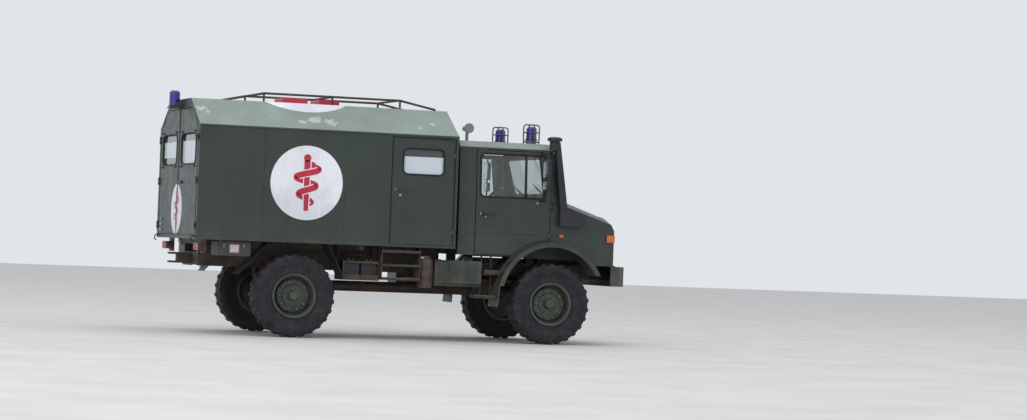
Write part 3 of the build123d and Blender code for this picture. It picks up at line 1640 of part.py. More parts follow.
def battery_rack():
    """An open tray on two hangers under the box's right side, with two batteries and their caps."""
    x0, x1 = rear_axle_x + battery_ahead, box_front_x - step_back - battery_step_gap
    y0, y1 = battery_inner_y, battery_outer_y
    z0 = battery_bottom_z
    plate = battery_plate
    shape = block((x0, x1), (y0, y1), (z0, z0 + plate))
    shape += block((x0, x1), (y1 - plate, y1), (z0, z0 + battery_lip))
    for x in (x0, x1 - plate):
        side = block((x, x + plate), (y0, y1), (z0, z0 + battery_frame_height))
        side -= block((x - 10, x + plate + 10), (y0 + battery_hanger, y1 - 2 * plate),
                      (z0 + battery_lip, z0 + battery_frame_height - 2 * plate))
        shape += side + block((x, x + plate), (y0, y0 + battery_hanger), (z0, box_bottom_z))
    rail_z = (z0 + battery_frame_height - 2 * plate, z0 + battery_frame_height)
    shape += block((x0, x1), (y1 - plate, y1), rail_z)
    middle = (x0 + x1) / 2
    top = z0 + plate + battery_height
    for a, b in ((x0 + plate, middle - battery_gap / 2), (middle + battery_gap / 2, x1 - plate)):
        shape += block((a, b), (y0 + battery_gap, y1 - plate - battery_gap), (z0 + plate, top))
        for x in (a + battery_cap_inset, b - battery_cap_inset):
            y = y1 - battery_cap_inset
            shape += rod((x, y, top), (x, y, top + battery_cap_height), battery_cap_radius)
    return mirrored(shape)


def step_tray(x, y, z, height):
    """An open tray with thin walls."""
    outer = block(x, y, (z, z + height))
    return outer - block((x[0] + step_plate, x[1] - step_plate), (y[0] + step_plate, y[1] - step_plate),
                         (z + step_plate, z + height + 1))


def side_steps():
    """The steps under the side door, and the steps behind the front wheels."""
    x0 = box_front_x - step_back
    x1 = x0 + step_length
    y = (-step_outer_y, -step_inner_y)
    ladder = []
    for x in (x0, x1 - step_cheek):
        cheek_y = (y[0] + step_hanger_depth, y[1])
        ladder.append(block((x, x + step_cheek), cheek_y, (step_bottom_z, box_bottom_z)))
    for i in range(step_count):
        ladder.append(step_tray((x0, x1), y, step_bottom_z + i * step_rise, step_tray_height))
    y = (cab_step_inner_y, cab_step_inner_y + cab_step_width)
    top_x = (arch_x - cab_step_back, arch_x - cab_step_back + cab_step_length)
    low_x = (arch_x - low_step_back, arch_x - low_step_back + low_step_length)
    cab_step = [step_tray(top_x, y, cab_step_z, cab_step_height),
                step_tray(low_x, (y[0] + low_step_out, y[1] + low_step_out), low_step_z, low_step_height)]
    for x in (top_x[0], low_x[1] - step_hanger_inset - step_cheek):
        cab_step.append(block((x, x + step_cheek), (y[0] + low_step_out, y[0] + low_step_out + step_hanger_depth),
                              (low_step_z, cab_bottom_z)))
    return group(fused(ladder), both(fused(cab_step)))


def exhaust():
    """The upright silencer on the right, and the pipe from the engine."""
    x, y = box_front_x - silencer_behind_box_front, -silencer_y
    top = silencer_bottom_z + silencer_height
    can = rod((x, y, silencer_bottom_z), (x, y, top), silencer_radius)
    can += rod((x, y, top), (x, y, top + silencer_cap_height), silencer_cap_radius)
    bend = firewall_x + exhaust_ahead
    pipe = bar([(x, y, exhaust_z), (x, -exhaust_y, exhaust_z), (bend, -exhaust_y, exhaust_z),
                (bend, -exhaust_y, engine_bottom_z)], exhaust_radius)
    return can + pipe


def rear_mudguards():
    """Sloping plates ahead of and behind each rear wheel, under the box."""
    y0, y1 = mudguard_inner_y, mudguard_inner_y + mudguard_width
    plate, flange = mudguard_plate, mudguard_flange
    plates = []
    for away, top, foot in ((-1, mudguard_rear_top, mudguard_rear_foot),
                            (1, mudguard_front_top, mudguard_front_foot)):
        x_top, x_foot = rear_axle_x + away * top, rear_axle_x + away * foot
        outline = [(x_top, box_bottom_z), (x_top + away * flange, box_bottom_z),
                   (x_top + away * flange, box_bottom_z - plate), (x_top + away * plate, box_bottom_z - plate),
                   (x_foot + away * plate, mudguard_bottom_z), (x_foot, mudguard_bottom_z)]
        plates.append(prism_y(outline, y0, y1))
    return group(*[both(shape) for shape in plates])


def rear_lamps():
    """A lamp cluster on a bracket under each rear corner, and the blank number plate on a strut."""
    x = box_rear_x + lamp_ahead
    y = (lamp_inner_y, lamp_inner_y + lamp_width)
    shape = block((x + lamp_depth, x + lamp_depth + lamp_bracket), y, (lamp_bracket_drop, box_bottom_z))
    shape += block((x, x + lamp_depth), y, (lamp_bottom_z, lamp_bottom_z + lamp_height))
    x = rear_axle_x - number_plate_behind
    y = (number_plate_inner_y, number_plate_inner_y + number_plate_width)
    z = number_plate_bottom_z
    plate = block((x, x + number_plate_depth), y, (z, z + number_plate_height))
    low = rail_bottom_z + rail_plate
    plate += block((x + number_plate_depth, x + 2 * number_plate_depth), (rail_outer_y, y[1] - number_plate_strut),
                   (low, low + number_plate_strut))
    return group(both(shape), plate)


# Inside

def seats():
    """Two cab seats: cushion, back and base."""
    y0, y1 = seat_inner_y, seat_inner_y + seat_width
    x0 = cab_rear_x + seat_ahead
    z0 = cab_bottom_z + cab_skin
    z1 = z0 + seat_base_height
    z2 = z1 + cushion_height
    z3 = z2 + seat_back_height
    inset = seat_base_inset
    seat = block((x0 + inset, x0 + inset + seat_base_length), (y0 + inset, y1 - inset), (z0, z1))
    seat += block((x0, x0 + cushion_length), (y0, y1), (z1, z2))
    seat += prism_y([(x0, z2), (x0 + seat_back_depth, z2), (x0 + seat_back_depth - seat_back_lean, z3),
                     (x0 + seat_back_depth - seat_back_lean - seat_back_top, z3)], y0, y1)
    return both(seat)


def dashboard():
    """The dash across the cab, with the steering column and wheel on the left."""
    x1 = firewall_x - cab_skin
    half = cab_half - cab_skin - dash_side_gap
    dash = prism_y([(x1, dash_bottom_z), (x1 - dash_lip_depth, dash_lip_z), (x1 - dash_depth, dash_face_z),
                    (x1, dash_top_z)], -half, half)
    angle = math.radians(column_angle)
    axis = Vector(-math.cos(angle), 0, math.sin(angle))
    root = Vector(x1 - column_root_depth, column_y, column_root_z)
    centre = root + axis * column_length
    column = rod(tuple(root), tuple(centre), column_radius)
    plane = Plane(origin=centre - axis * spoke_plate, z_dir=axis)
    ring = extrude(plane * Circle(steering_wheel_radius), amount=steering_wheel_rim)
    ring -= extrude(plane * Circle(steering_wheel_radius - steering_wheel_rim), amount=steering_wheel_rim)
    spoke = extrude(plane * Rectangle(spoke_width, 2 * steering_wheel_radius - steering_wheel_rim),
                    amount=spoke_plate)
    return dash + column + ring + spoke


def stretchers():
    """Two stretchers on each side, in racks that stand on the floor."""
    x0, x1 = box_rear_x + stretcher_ahead, box_rear_x + stretcher_ahead + stretcher_length
    y0, y1 = stretcher_inner_y, stretcher_outer_y
    rack = []
    for rise in (stretcher_low, stretcher_high):
        z = floor_top_z + rise
        rack.append(block((x0, x1), (y0, y1), (z, z + stretcher_plate)))
    heights = (floor_top_z, floor_top_z + stretcher_post_height)
    inset = stretcher_post_inset
    for x in (x0 + inset, x1 - inset - stretcher_post):
        rack.append(block((x, x + stretcher_post), (y1 - stretcher_post_depth, box_half - box_wall), heights))
    return both(fused(rack))


pieces = {
    "front_axle": front_axle,
    "rear_axle": rear_axle,
    "tie_rod": tie_rod,
    "frame_rails": frame_rails,
    "frame_crossmembers": frame_crossmembers,
    "body_subframe": body_subframe,
    "suspension": suspension,
    "powertrain": lambda: group(powertrain(), radiator()),
    "box_side_walls": box_side_walls,
    "box_front_wall": box_front_wall,
    "box_floor": box_floor_panel,
    "box_roof": box_roof,
    "box_rear_frame": rear_frame,
    "side_door": side_door,
    "cab_shell": lambda: cab_shell() + bonnet_hinge_brackets(),
    "cab_roof": cab_roof,
    "fixed_glass": fixed_glass,
    "bonnet": bonnet,
    "front_wings": front_wings,
    "front_panel": front_panel,
    "headlamps": headlamps,
    "indicators": indicators,
    "front_bumper": front_bumper,
    "tow_coupling": tow_coupling,
    "snorkel": snorkel,
    "beacons": beacons,
    "siren": siren,
    "roof_rack": roof_rack,
    "roof_vents": roof_vents,
    "fuel_tank": fuel_tank,
    "side_lockers": lambda: group(side_lockers(), battery_rack()),
    "side_steps": side_steps,
    "exhaust": exhaust,
    "rear_mudguards": rear_mudguards,
    "rear_lamps": rear_lamps,
    "seats": seats,
    "dashboard": dashboard,
    "stretchers": stretchers,
}

for name, build in pieces.items():
    save(name, build())

save("side_door_glass", side_glass(-1))
save_pair("knuckle", knuckle())
save_pair("cab_door", cab_door())
save_pair("cab_door_glass", cab_door_glass())
save_pair("mirror", mirror_set())
save("rear_door_left", rear_door())
save("rear_door_right", mirrored(rear_door()) + rear_door_handle())
save_pair("rear_door_glass", rear_door_glass())
save_wheels()
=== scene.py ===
"""Looks of the military ambulance truck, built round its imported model. Metres, +X forward, +Z up."""

import json
import math

import bmesh
import bpy
from mathutils import Matrix, Vector


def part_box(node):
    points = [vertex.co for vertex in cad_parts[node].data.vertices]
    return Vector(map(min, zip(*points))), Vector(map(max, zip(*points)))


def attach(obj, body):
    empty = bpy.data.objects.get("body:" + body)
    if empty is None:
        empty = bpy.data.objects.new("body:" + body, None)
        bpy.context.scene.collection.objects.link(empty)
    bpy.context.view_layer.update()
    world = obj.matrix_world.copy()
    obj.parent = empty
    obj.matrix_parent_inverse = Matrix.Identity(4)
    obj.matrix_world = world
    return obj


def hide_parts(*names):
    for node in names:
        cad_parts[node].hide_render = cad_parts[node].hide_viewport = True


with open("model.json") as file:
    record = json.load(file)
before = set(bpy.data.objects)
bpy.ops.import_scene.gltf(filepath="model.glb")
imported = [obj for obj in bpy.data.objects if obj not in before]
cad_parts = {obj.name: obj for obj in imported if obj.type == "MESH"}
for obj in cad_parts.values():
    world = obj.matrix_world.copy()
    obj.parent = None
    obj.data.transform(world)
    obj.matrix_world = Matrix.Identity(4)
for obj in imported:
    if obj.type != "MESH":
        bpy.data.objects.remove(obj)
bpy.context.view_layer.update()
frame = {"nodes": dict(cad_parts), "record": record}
nodes = frame["nodes"]
slot_of = {row["node"]: row["material_slot"] for row in frame["record"]["subparts"]}

# The camera that the photograph fixes, with the rear axle's place in the frame
wheel_low, wheel_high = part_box("tyre_rear_right")
rear_axle_x = (wheel_low.x + wheel_high.x) / 2
camera_place = Vector((rear_axle_x - 8.687, -35.252, 1.200))
camera_right = Vector((0.9477, -0.3168, 0.0393))
camera_forward = Vector((0.3165, 0.9485, 0.0122))
focal_pixels = 2939.2
photo_width = 1027
sensor_width = 36.0

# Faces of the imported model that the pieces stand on
wall_y = 1.152
back_x = -2.654
box_front_x = 0.556
sill_z, gutter_z = 1.166, 2.482
roof_crown_z, roof_flat_y = 2.825, 0.58
cab_y, waist_z, cab_lean = 1.0, 1.79, 0.0598
beacon_x, beacon_y, beacon_z = 1.655, 0.62, 2.515
# The windscreen's slope, and the way that it faces
screen_back, screen_rise = 0.160, 0.585
screen_up = Vector((-screen_back, 0, screen_rise)).normalized()
screen_out = Vector((screen_up.z, 0, -screen_up.x))
sides = ((1, "left"), (-1, "right"))


def placed(name, data):
    """A new object of the scene."""
    piece = bpy.data.objects.new(name, data)
    bpy.context.scene.collection.objects.link(piece)
    return piece


def make_camera():
    data = bpy.data.cameras.new("camera")
    data.sensor_width = sensor_width
    data.lens = focal_pixels / photo_width * sensor_width
    data.clip_start, data.clip_end = 0.5, 400
    camera = placed("camera", data)
    back = -camera_forward.normalized()
    right = (camera_right - camera_right.dot(back) * back).normalized()
    up = back.cross(right)
    turn = Matrix((right, up, back)).transposed().to_4x4()
    camera.matrix_world = Matrix.Translation(camera_place) @ turn
    bpy.context.scene.camera = camera


# Materials, each of which its finish adds to mats

mats = {}


class Surface:
    """A material's node tree with short calls for the nodes that the finishes share."""

    def __init__(self, name):
        self.name = name
        self.material = bpy.data.materials.new(name)
        self.material.use_nodes = True
        self.tree = self.material.node_tree
        self.shader = self.tree.nodes["Principled BSDF"]
        self.place = self.node("ShaderNodeTexCoord").outputs["Object"]

    def put(self, target, value):
        """Feeds an input from another node, or with a colour or a number."""
        if isinstance(value, bpy.types.NodeSocket):
            self.tree.links.new(value, target)
        else:
            target.default_value = (*value, 1) if target.type == "RGBA" else value

    def node(self, kind, inputs=(), **settings):
        """A new node with its settings and (input, value) pairs."""
        made = self.tree.nodes.new(kind)
        for key, value in settings.items():
            setattr(made, key, value)
        for key, value in inputs:
            self.put(made.inputs[key], value)
        return made

    def stretched(self, scale):
        return self.node("ShaderNodeMapping", (("Vector", self.place), ("Scale", scale))).outputs["Vector"]

    def noise(self, scale, detail=4, roughness=0.55, place=None):
        inputs = (("Vector", place or self.place), ("Scale", scale), ("Detail", detail), ("Roughness", roughness))
        return self.node("ShaderNodeTexNoise", inputs).outputs["Fac"]

    def cells(self, scale):
        return self.node("ShaderNodeTexVoronoi", (("Vector", self.place), ("Scale", scale))).outputs["Distance"]

    def waves(self, direction, scale):
        inputs = (("Vector", self.place), ("Scale", scale))
        return self.node("ShaderNodeTexWave", inputs, wave_type="BANDS", bands_direction=direction).outputs["Fac"]

    def ramp(self, value, low, high, to_low=0.0, to_high=1.0):
        inputs = (("Value", value), ("From Min", low), ("From Max", high), ("To Min", to_low), ("To Max", to_high))
        return self.node("ShaderNodeMapRange", inputs, interpolation_type="SMOOTHSTEP").outputs["Result"]

    def math(self, operation, a, b):
        return self.node("ShaderNodeMath", ((0, a), (1, b)), operation=operation).outputs["Value"]

    def times(self, a, b):
        return self.math("MULTIPLY", a, b)

    def plus(self, a, b):
        return self.math("ADD", a, b)

    def mix(self, share, a, b):
        made = self.node("ShaderNodeMix", (("Factor", share),), data_type="RGBA")
        for key, colour in (("A", a), ("B", b)):
            self.put(next(s for s in made.inputs if s.name == key and s.type == "RGBA"), colour)
        return next(s for s in made.outputs if s.type == "RGBA")

    def height(self):
        return self.node("ShaderNodeSeparateXYZ", (("Vector", self.place),)).outputs["Z"]

    def near(self, point, radius):
        """A blotch: 1 at a point, 0 past a radius, with an edge torn by noise."""
        away = self.node("ShaderNodeVectorMath", ((0, self.place), (1, point)), operation="DISTANCE")
        torn = self.times(self.math("SUBTRACT", self.noise(19, 6, 0.7), 0.5), 4.4 * radius)
        return self.ramp(self.plus(away.outputs["Value"], torn), radius * 0.8, radius, 1.0, 0.0)

    def bump(self, height, strength, distance, under=None):
        inputs = (("Strength", strength), ("Distance", distance), ("Height", height))
        if under is not None:
            inputs += (("Normal", under),)
        return self.node("ShaderNodeBump", inputs).outputs["Normal"]

    def finish(self, colour, roughness, normal, **fixed):
        for key, value in (("Base Color", colour), ("Roughness", roughness), ("Normal", normal)):
            self.put(self.shader.inputs[key], value)
        for key, value in fixed.items():
            self.shader.inputs[key.replace("_", " ")].default_value = value
        mats[self.name] = self.material
        return self.material


def scaled(colour, share):
    """A lighter or darker tone of a colour."""
    return tuple(min(1.0, c * share) for c in colour)


def paint(name, colour, dust=0.5, worn=0.3, patches=(), pale=(0.42, 0.45, 0.40)):
    """Matt field paint: faded clouds, rain streaks, dust low down, small chips and an eggshell grain."""
    s = Surface(name)
    clouds = s.ramp(s.noise(1.7, 5, 0.6), 0.3, 0.72)
    tint = s.mix(clouds, scaled(colour, 0.86), scaled(colour, 1.16))
    streaks = s.ramp(s.noise(1.0, 5, 0.6, s.stretched((16, 16, 0.9))), 0.5, 0.8)
    tint = s.mix(s.times(streaks, 0.28), tint, scaled(colour, 1.5))
    fine = s.ramp(s.noise(60, 3), 0.35, 0.7)
    tint = s.mix(s.times(fine, 0.12), tint, scaled(colour, 0.6))
    low = s.ramp(s.height(), 1.55, 0.55)
    earth = s.times(s.times(low, s.ramp(s.noise(5, 6, 0.65), 0.32, 0.7)), dust)
    tint = s.mix(earth, tint, (0.135, 0.118, 0.092))
    chips = s.ramp(s.noise(34, 6, 0.72), 0.70, 0.735)
    tint = s.mix(s.times(chips, worn), tint, pale)
    for point, radius in patches:
        tint = s.mix(s.times(s.near(point, radius), 0.75), tint, (0.50, 0.52, 0.47))
    rough = s.plus(s.ramp(s.noise(7, 4), 0.3, 0.7, 0.34, 0.46), s.times(earth, 0.3))
    grain = s.bump(s.noise(420, 2), 0.12, 0.0006)
    dents = s.bump(s.noise(2.2, 2), 0.35, 0.006, grain)
    return s.finish(tint, rough, dents, Specular_IOR_Level=0.5)


def rubber(name, colour):
    """Weathered rubber, dusty where it is low."""
    s = Surface(name)
    tint = s.mix(s.ramp(s.noise(6, 6, 0.65), 0.3, 0.75), scaled(colour, 0.8), scaled(colour, 1.35))
    earth = s.times(s.ramp(s.noise(11, 7, 0.7), 0.42, 0.72), 0.2)
    tint = s.mix(earth, tint, (0.105, 0.095, 0.08))
    rough = s.ramp(s.noise(30, 4), 0.3, 0.7, 0.62, 0.85)
    bump = s.bump(s.noise(180, 5, 0.7), 0.35, 0.0012)
    return s.finish(tint, rough, bump, Specular_IOR_Level=0.35)


def chassis(name, colour, rust=0.6):
    """Black underbody paint broken by rust and road dirt."""
    s = Surface(name)
    tint = s.mix(s.ramp(s.noise(14, 6), 0.35, 0.7), scaled(colour, 0.7), scaled(colour, 1.8))
    spots = s.times(s.ramp(s.noise(5.5, 8, 0.7), 0.44, 0.62), rust)
    rust_tint = s.mix(s.ramp(s.noise(40, 5), 0.3, 0.7), (0.065, 0.024, 0.012), (0.20, 0.085, 0.035))
    tint = s.mix(spots, tint, rust_tint)
    earth = s.times(s.ramp(s.noise(3.4, 6, 0.6), 0.4, 0.75), 0.35)
    tint = s.mix(earth, tint, (0.12, 0.10, 0.078))
    rough = s.plus(0.5, s.times(spots, 0.35))
    return s.finish(tint, rough, s.bump(s.noise(90, 6, 0.7), 0.5, 0.0014))


def rusted(name):
    """Steel rusted through: scale, pits and run-off."""
    s = Surface(name)
    tint = s.mix(s.ramp(s.noise(9, 8, 0.7), 0.3, 0.7), (0.045, 0.018, 0.010), (0.23, 0.095, 0.045))
    tint = s.mix(s.ramp(s.noise(28, 6, 0.7), 0.55, 0.7), tint, (0.30, 0.16, 0.085))
    streaks = s.ramp(s.noise(1.0, 5, 0.6, s.stretched((40, 40, 2.2))), 0.5, 0.75)
    tint = s.mix(s.times(streaks, 0.5), tint, (0.028, 0.020, 0.017))
    return s.finish(tint, s.ramp(s.noise(25, 5), 0.3, 0.7, 0.7, 0.95), s.bump(s.noise(70, 8, 0.75), 0.7, 0.002))


def steel(name, colour, metallic=0.85, roughness=(0.32, 0.55)):
    """Bare or galvanised steel with dull blooms and fine scratches."""
    s = Surface(name)
    bloom = s.cells(26)
    tint = s.mix(s.ramp(bloom, 0.1, 0.7), scaled(colour, 0.72), scaled(colour, 1.15))
    tint = s.mix(s.times(s.ramp(s.noise(8, 7, 0.7), 0.5, 0.72), 0.55), tint, (0.13, 0.10, 0.075))
    scratch = s.noise(1.0, 3, 0.5, s.stretched((300, 300, 18)))
    rough = s.ramp(s.noise(12, 4), 0.3, 0.7, *roughness)
    return s.finish(tint, rough, s.bump(scratch, 0.12, 0.0006), Metallic=metallic)


def moulded(name, colour, roughness=0.5, grain=350):
    """Moulded plastic with a fine leather grain and scuffs."""
    s = Surface(name)
    tint = s.mix(s.ramp(s.noise(8, 5), 0.3, 0.7), scaled(colour, 0.85), scaled(colour, 1.35))
    scuffs = s.times(s.ramp(s.noise(24, 7, 0.7), 0.58, 0.72), 0.25)
    tint = s.mix(scuffs, tint, scaled(colour, 3.2))
    rough = s.ramp(s.noise(16, 4), 0.3, 0.7, roughness - 0.06, roughness + 0.12)
    return s.finish(tint, rough, s.bump(s.cells(grain), 0.25, 0.0005))


def lens(name, colour, rib=260):
    """A coloured moulded lens with slanting ribs under a glossy skin."""
    s = Surface(name)
    ribs = s.waves("DIAGONAL", rib)
    shade = s.mix(s.ramp(ribs, 0.2, 0.8), scaled(colour, 0.55), scaled(colour, 1.25))
    shade = s.mix(s.times(s.ramp(s.noise(22, 6), 0.5, 0.75), 0.3), shade, (0.12, 0.10, 0.08))
    rough = s.ramp(s.noise(18, 3), 0.3, 0.7, 0.10, 0.22)
    return s.finish(shade, rough, s.bump(ribs, 0.25, 0.001), Coat_Weight=0.6, Coat_Roughness=0.08)


def glass(name, colour, clear, roughness):
    """Window or lamp glass: mostly clear, with a film of dust."""
    s = Surface(name)
    film = s.ramp(s.noise(5, 7, 0.7), 0.45, 0.85, 0.0, 0.05)
    tint = s.mix(film, colour, (0.45, 0.42, 0.36))
    ripple = s.bump(s.noise(1.4, 1), 0.05, 0.002)
    return s.finish(tint, s.plus(roughness, film), ripple, Transmission_Weight=clear, IOR=1.45)


def frosted(name, colour):
    """Frosted film behind a window: pale, even, slightly streaked."""
    s = Surface(name)
    streaks = s.ramp(s.noise(1.5, 4, 0.6, s.stretched((3, 3, 0.7))), 0.3, 0.7)
    tint = s.mix(streaks, scaled(colour, 0.93), colour)
    grain = s.bump(s.noise(700, 2), 0.15, 0.0003)
    return s.finish(tint, s.ramp(s.noise(9, 3), 0.3, 0.7, 0.28, 0.45), grain, Coat_Weight=0.4, Coat_Roughness=0.05)


def cloth(name, colour):
    """A woven cover."""
    s = Surface(name)
    weave = s.times(s.waves("X", 150), s.waves("Z", 150))
    tint = s.mix(s.ramp(weave, 0.1, 0.7), scaled(colour, 0.65), scaled(colour, 1.3))
    tint = s.mix(s.times(s.ramp(s.noise(6, 5), 0.4, 0.7), 0.3), tint, scaled(colour, 2.0))
    return s.finish(tint, 0.88, s.bump(weave, 0.5, 0.0008), Sheen_Weight=0.25, Sheen_Roughness=0.5)


olive = (0.0270, 0.0405, 0.0335)
# A much lighter copy of the body's olive for the roof: partly faded paint, partly painted sky reflection and
# highlight on the top of the box
roof_fade_and_sky_sheen_tone = (0.215, 0.270, 0.242)
# Spots and radii where the roof's paint is rubbed off
rubbed = (((-2.58, -0.80, 2.70), 0.060), ((-2.52, -0.87, 2.66), 0.035), ((-1.22, -0.93, 2.62), 0.085),
          ((-1.02, -0.96, 2.60), 0.075), ((-1.38, -0.99, 2.58), 0.045), ((0.10, -0.98, 2.59), 0.035),
          ((0.28, -0.90, 2.64), 0.030))
paint("body_green", olive)
# The roof's paint: faded, and made lighter still as painted sky reflection on the upward faces
paint("roof_green", roof_fade_and_sky_sheen_tone, dust=0.0, worn=0.4, patches=rubbed)
paint("wheel_green", (0.036, 0.050, 0.038), dust=0.35, worn=0.35)
chassis("chassis_black", (0.018, 0.017, 0.016))
moulded("black_plastic", (0.016, 0.016, 0.022))
rubber("tyre_black", (0.0165, 0.0155, 0.0215))
rusted("rusty_steel")
steel("bare_steel", (0.42, 0.42, 0.41))
glass("window_glass", (0.74, 0.79, 0.78), 0.96, 0.0)
glass("lamp_glass", (0.95, 0.95, 0.95), 0.9, 0.06)
lens("orange_lens", (0.75, 0.13, 0.015))
lens("red_lens", (0.45, 0.012, 0.012))
lens("blue_lens", (0.012, 0.010, 0.25), 180)
paint("inner_panel", (0.50, 0.52, 0.50), dust=0.2, worn=0.1, pale=(0.30, 0.30, 0.29))
cloth("seat_cloth", (0.055, 0.06, 0.058))
moulded("stretcher_cover", (0.16, 0.020, 0.018), 0.42, 260)
paint("white_paint", (0.74, 0.76, 0.82), dust=0.15, worn=0.12, pale=(0.30, 0.31, 0.30))
paint("red_paint", (0.47, 0.018, 0.050), dust=0.1, worn=0.2, pale=(0.70, 0.62, 0.60))
frosted("frosted", (0.60, 0.67, 0.73))
rubber("seal_rubber", (0.012, 0.012, 0.014))
steel("mirror_glass", (0.80, 0.82, 0.84), 1.0, (0.03, 0.06))
steel("nut_steel", (0.16, 0.17, 0.15), 0.6, (0.40, 0.60))
steel("guard_steel", (0.10, 0.10, 0.11), 0.5, (0.35, 0.5))
# Dark cloth for the stretchers' straps, and a dark sheet of painted shade behind the side windows' upper glass
cloth("dark_cloth_and_window_shade", (0.035, 0.030, 0.036))
steel("tread_steel", (0.24, 0.24, 0.225), 0.7, (0.45, 0.70))
lens("dark_red_lens", (0.16, 0.010, 0.012))
# Pale paint for the plates and signs; on the silencer's cap it is a painted sheen standing for shiny metal
paint("pale_plate_and_cap_sheen", (0.55, 0.57, 0.58), dust=0.1, worn=0.1, pale=(0.30, 0.31, 0.30))
paint("horn_green", (0.23, 0.27, 0.24), dust=0.1, worn=0.2)
chassis("rust_brown", (0.050, 0.036, 0.028), 1.0)


# Shapes

def angles(count):
    """Equal steps round a circle."""
    return [2 * math.pi * k / count for k in range(count)]


class Mesh:
    """Gathers simple bodies into one mesh, in the row frame."""

    def __init__(self):
        self.bm = bmesh.new()

    def skin(self, rings, closed=False):
        """Faces from one ring of points to the next, with two ends or back to the first ring."""
        rings = [[self.bm.verts.new(p) for p in ring] for ring in rings]
        for a, b in list(zip(rings, rings[1:])) + ([(rings[-1], rings[0])] if closed else []):
            for i in range(len(a)):
                j = (i + 1) % len(a)
                self.bm.faces.new((a[i], a[j], b[j], b[i]))
        if not closed:
            self.bm.faces.new(list(reversed(rings[0])))
            self.bm.faces.new(rings[-1])
        return self

    def block(self, low, high):
        (x0, y0, z0), (x1, y1, z1) = low, high
        return self.skin([[(x, y, z) for x, y in square(x0, x1, y0, y1)] for z in (z0, z1)])

    def tube(self, points, radius, sides=8, closed=False):
        """A round tube through points, mitred at each; a list of radii has one for each point."""
        points = [Vector(p) for p in points]
        last = len(points) - 1
        rings = []
        normal = None
        for i, p in enumerate(points):
            if closed:
                before, after = points[i - 1], points[(i + 1) % (last + 1)]
            else:
                before, after = points[max(i - 1, 0)], points[min(i + 1, last)]
            along = (after - before).normalized()
            if normal is None:
                normal = along.orthogonal().normalized()
            normal = (normal - normal.dot(along) * along).normalized()
            across = along.cross(normal)
            r = radius[i] if isinstance(radius, list) else radius
            rings.append([p + r * (math.cos(a) * normal + math.sin(a) * across) for a in angles(sides)])
        return self.skin(rings, closed)

    def loop(self, outline, place, w, radius, sides=8):
        """A round cord along an outline of (u, v) points, at a height off its surface."""
        return self.tube([place(u, v, w) for u, v in outline], radius, sides, closed=True)

    def turned(self, centre, axis, profile, sides=20, ring=False):
        """A profile of (distance along the axis, radius) points turned about an axis, solid or a ring."""
        centre, axis = Vector(centre), Vector(axis).normalized()
        normal = axis.orthogonal().normalized()
        across = axis.cross(normal)
        return self.skin([[centre + along * axis + radius * (math.cos(a) * normal + math.sin(a) * across)
                           for a in angles(sides)] for along, radius in profile], ring)

    def strip(self, centres, halves, place, w0, w1):
        """A flat ribbon along (u, v) points on a surface, between two heights off it."""
        rings = []
        for i, (u, v) in enumerate(centres):
            (ua, va), (ub, vb) = centres[max(i - 1, 0)], centres[min(i + 1, len(centres) - 1)]
            length = math.hypot(ub - ua, vb - va)
            du, dv = -(vb - va) / length * halves[i], (ub - ua) / length * halves[i]
            corners = ((u + du, v + dv, w0), (u - du, v - dv, w0), (u - du, v - dv, w1), (u + du, v + dv, w1))
            rings.append([place(*corner) for corner in corners])
        return self.skin(rings)

    def plate(self, outline, place, w0, w1):
        """A flat plate from an outline of (u, v) points on a surface."""
        return self.skin([[place(u, v, w) for u, v in outline] for w in (w0, w1)])

    def cut(self, point, normal):
        """Takes away what lies on the normal's side of a plane."""
        geometry = list(self.bm.verts) + list(self.bm.edges) + list(self.bm.faces)
        found = bmesh.ops.bisect_plane(self.bm, geom=geometry, plane_co=point, plane_no=normal, clear_outer=True)
        edges = [e for e in found["geom_cut"] if isinstance(e, bmesh.types.BMEdge)]
        bmesh.ops.holes_fill(self.bm, edges=edges)

    def bolt(self, place, axis, radius, height):
        """A hexagon head on a washer."""
        self.turned(place, axis, [(-0.002, radius * 1.5), (0.002, radius * 1.5)], 16)
        self.turned(place, axis, [(0.001, radius), (height * 0.8, radius), (height, radius * 0.85)], 6)

    def rivet(self, place, axis, radius):
        """A low domed head."""
        dome = [(-0.001, radius), (0.001, radius), (0.0025, radius * 0.6), (0.003, radius * 0.15)]
        self.turned(place, axis, dome, 8)

    def as_object(self, name):
        data = bpy.data.meshes.new(name)
        self.bm.to_mesh(data)
        self.bm.free()
        return placed(name, data)

    def made(self, name, material, body="chassis", smooth=True, bevel=0.0, replaces=()):
        """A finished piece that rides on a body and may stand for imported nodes."""
        bmesh.ops.remove_doubles(self.bm, verts=self.bm.verts, dist=1e-6)
        bmesh.ops.recalc_face_normals(self.bm, faces=self.bm.faces)
        piece = self.as_object(name)
        piece.data.materials.append(mats[material])
        if bevel:
            edge = piece.modifiers.new("edge", "BEVEL")
            edge.width, edge.segments, edge.limit_method, edge.angle_limit = bevel, 2, "ANGLE", math.radians(40)
        if smooth:
            for face in piece.data.polygons:
                face.use_smooth = True
            piece.data.set_sharp_from_angle(angle=math.radians(38))
        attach(piece, body)
        if replaces:
            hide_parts(*replaces)


def square(u0, u1, v0, v1):
    """The corners of a rectangle."""
    return [(u0, v0), (u1, v0), (u1, v1), (u0, v1)]


def rounded(u0, u1, v0, v1, corner, steps=6):
    """Points round a rectangle with round corners."""
    points = []
    for u, v, start in ((u1 - corner, v1 - corner, 0), (u0 + corner, v1 - corner, 90),
                        (u0 + corner, v0 + corner, 180), (u1 - corner, v0 + corner, 270)):
        for k in range(steps + 1):
            angle = math.radians(start + 90 * k / steps)
            points.append((u + corner * math.cos(angle), v + corner * math.sin(angle)))
    return points


def circle(u, v, radius, steps=72):
    return [(u + radius * math.cos(a), v + radius * math.sin(a)) for a in angles(steps)]


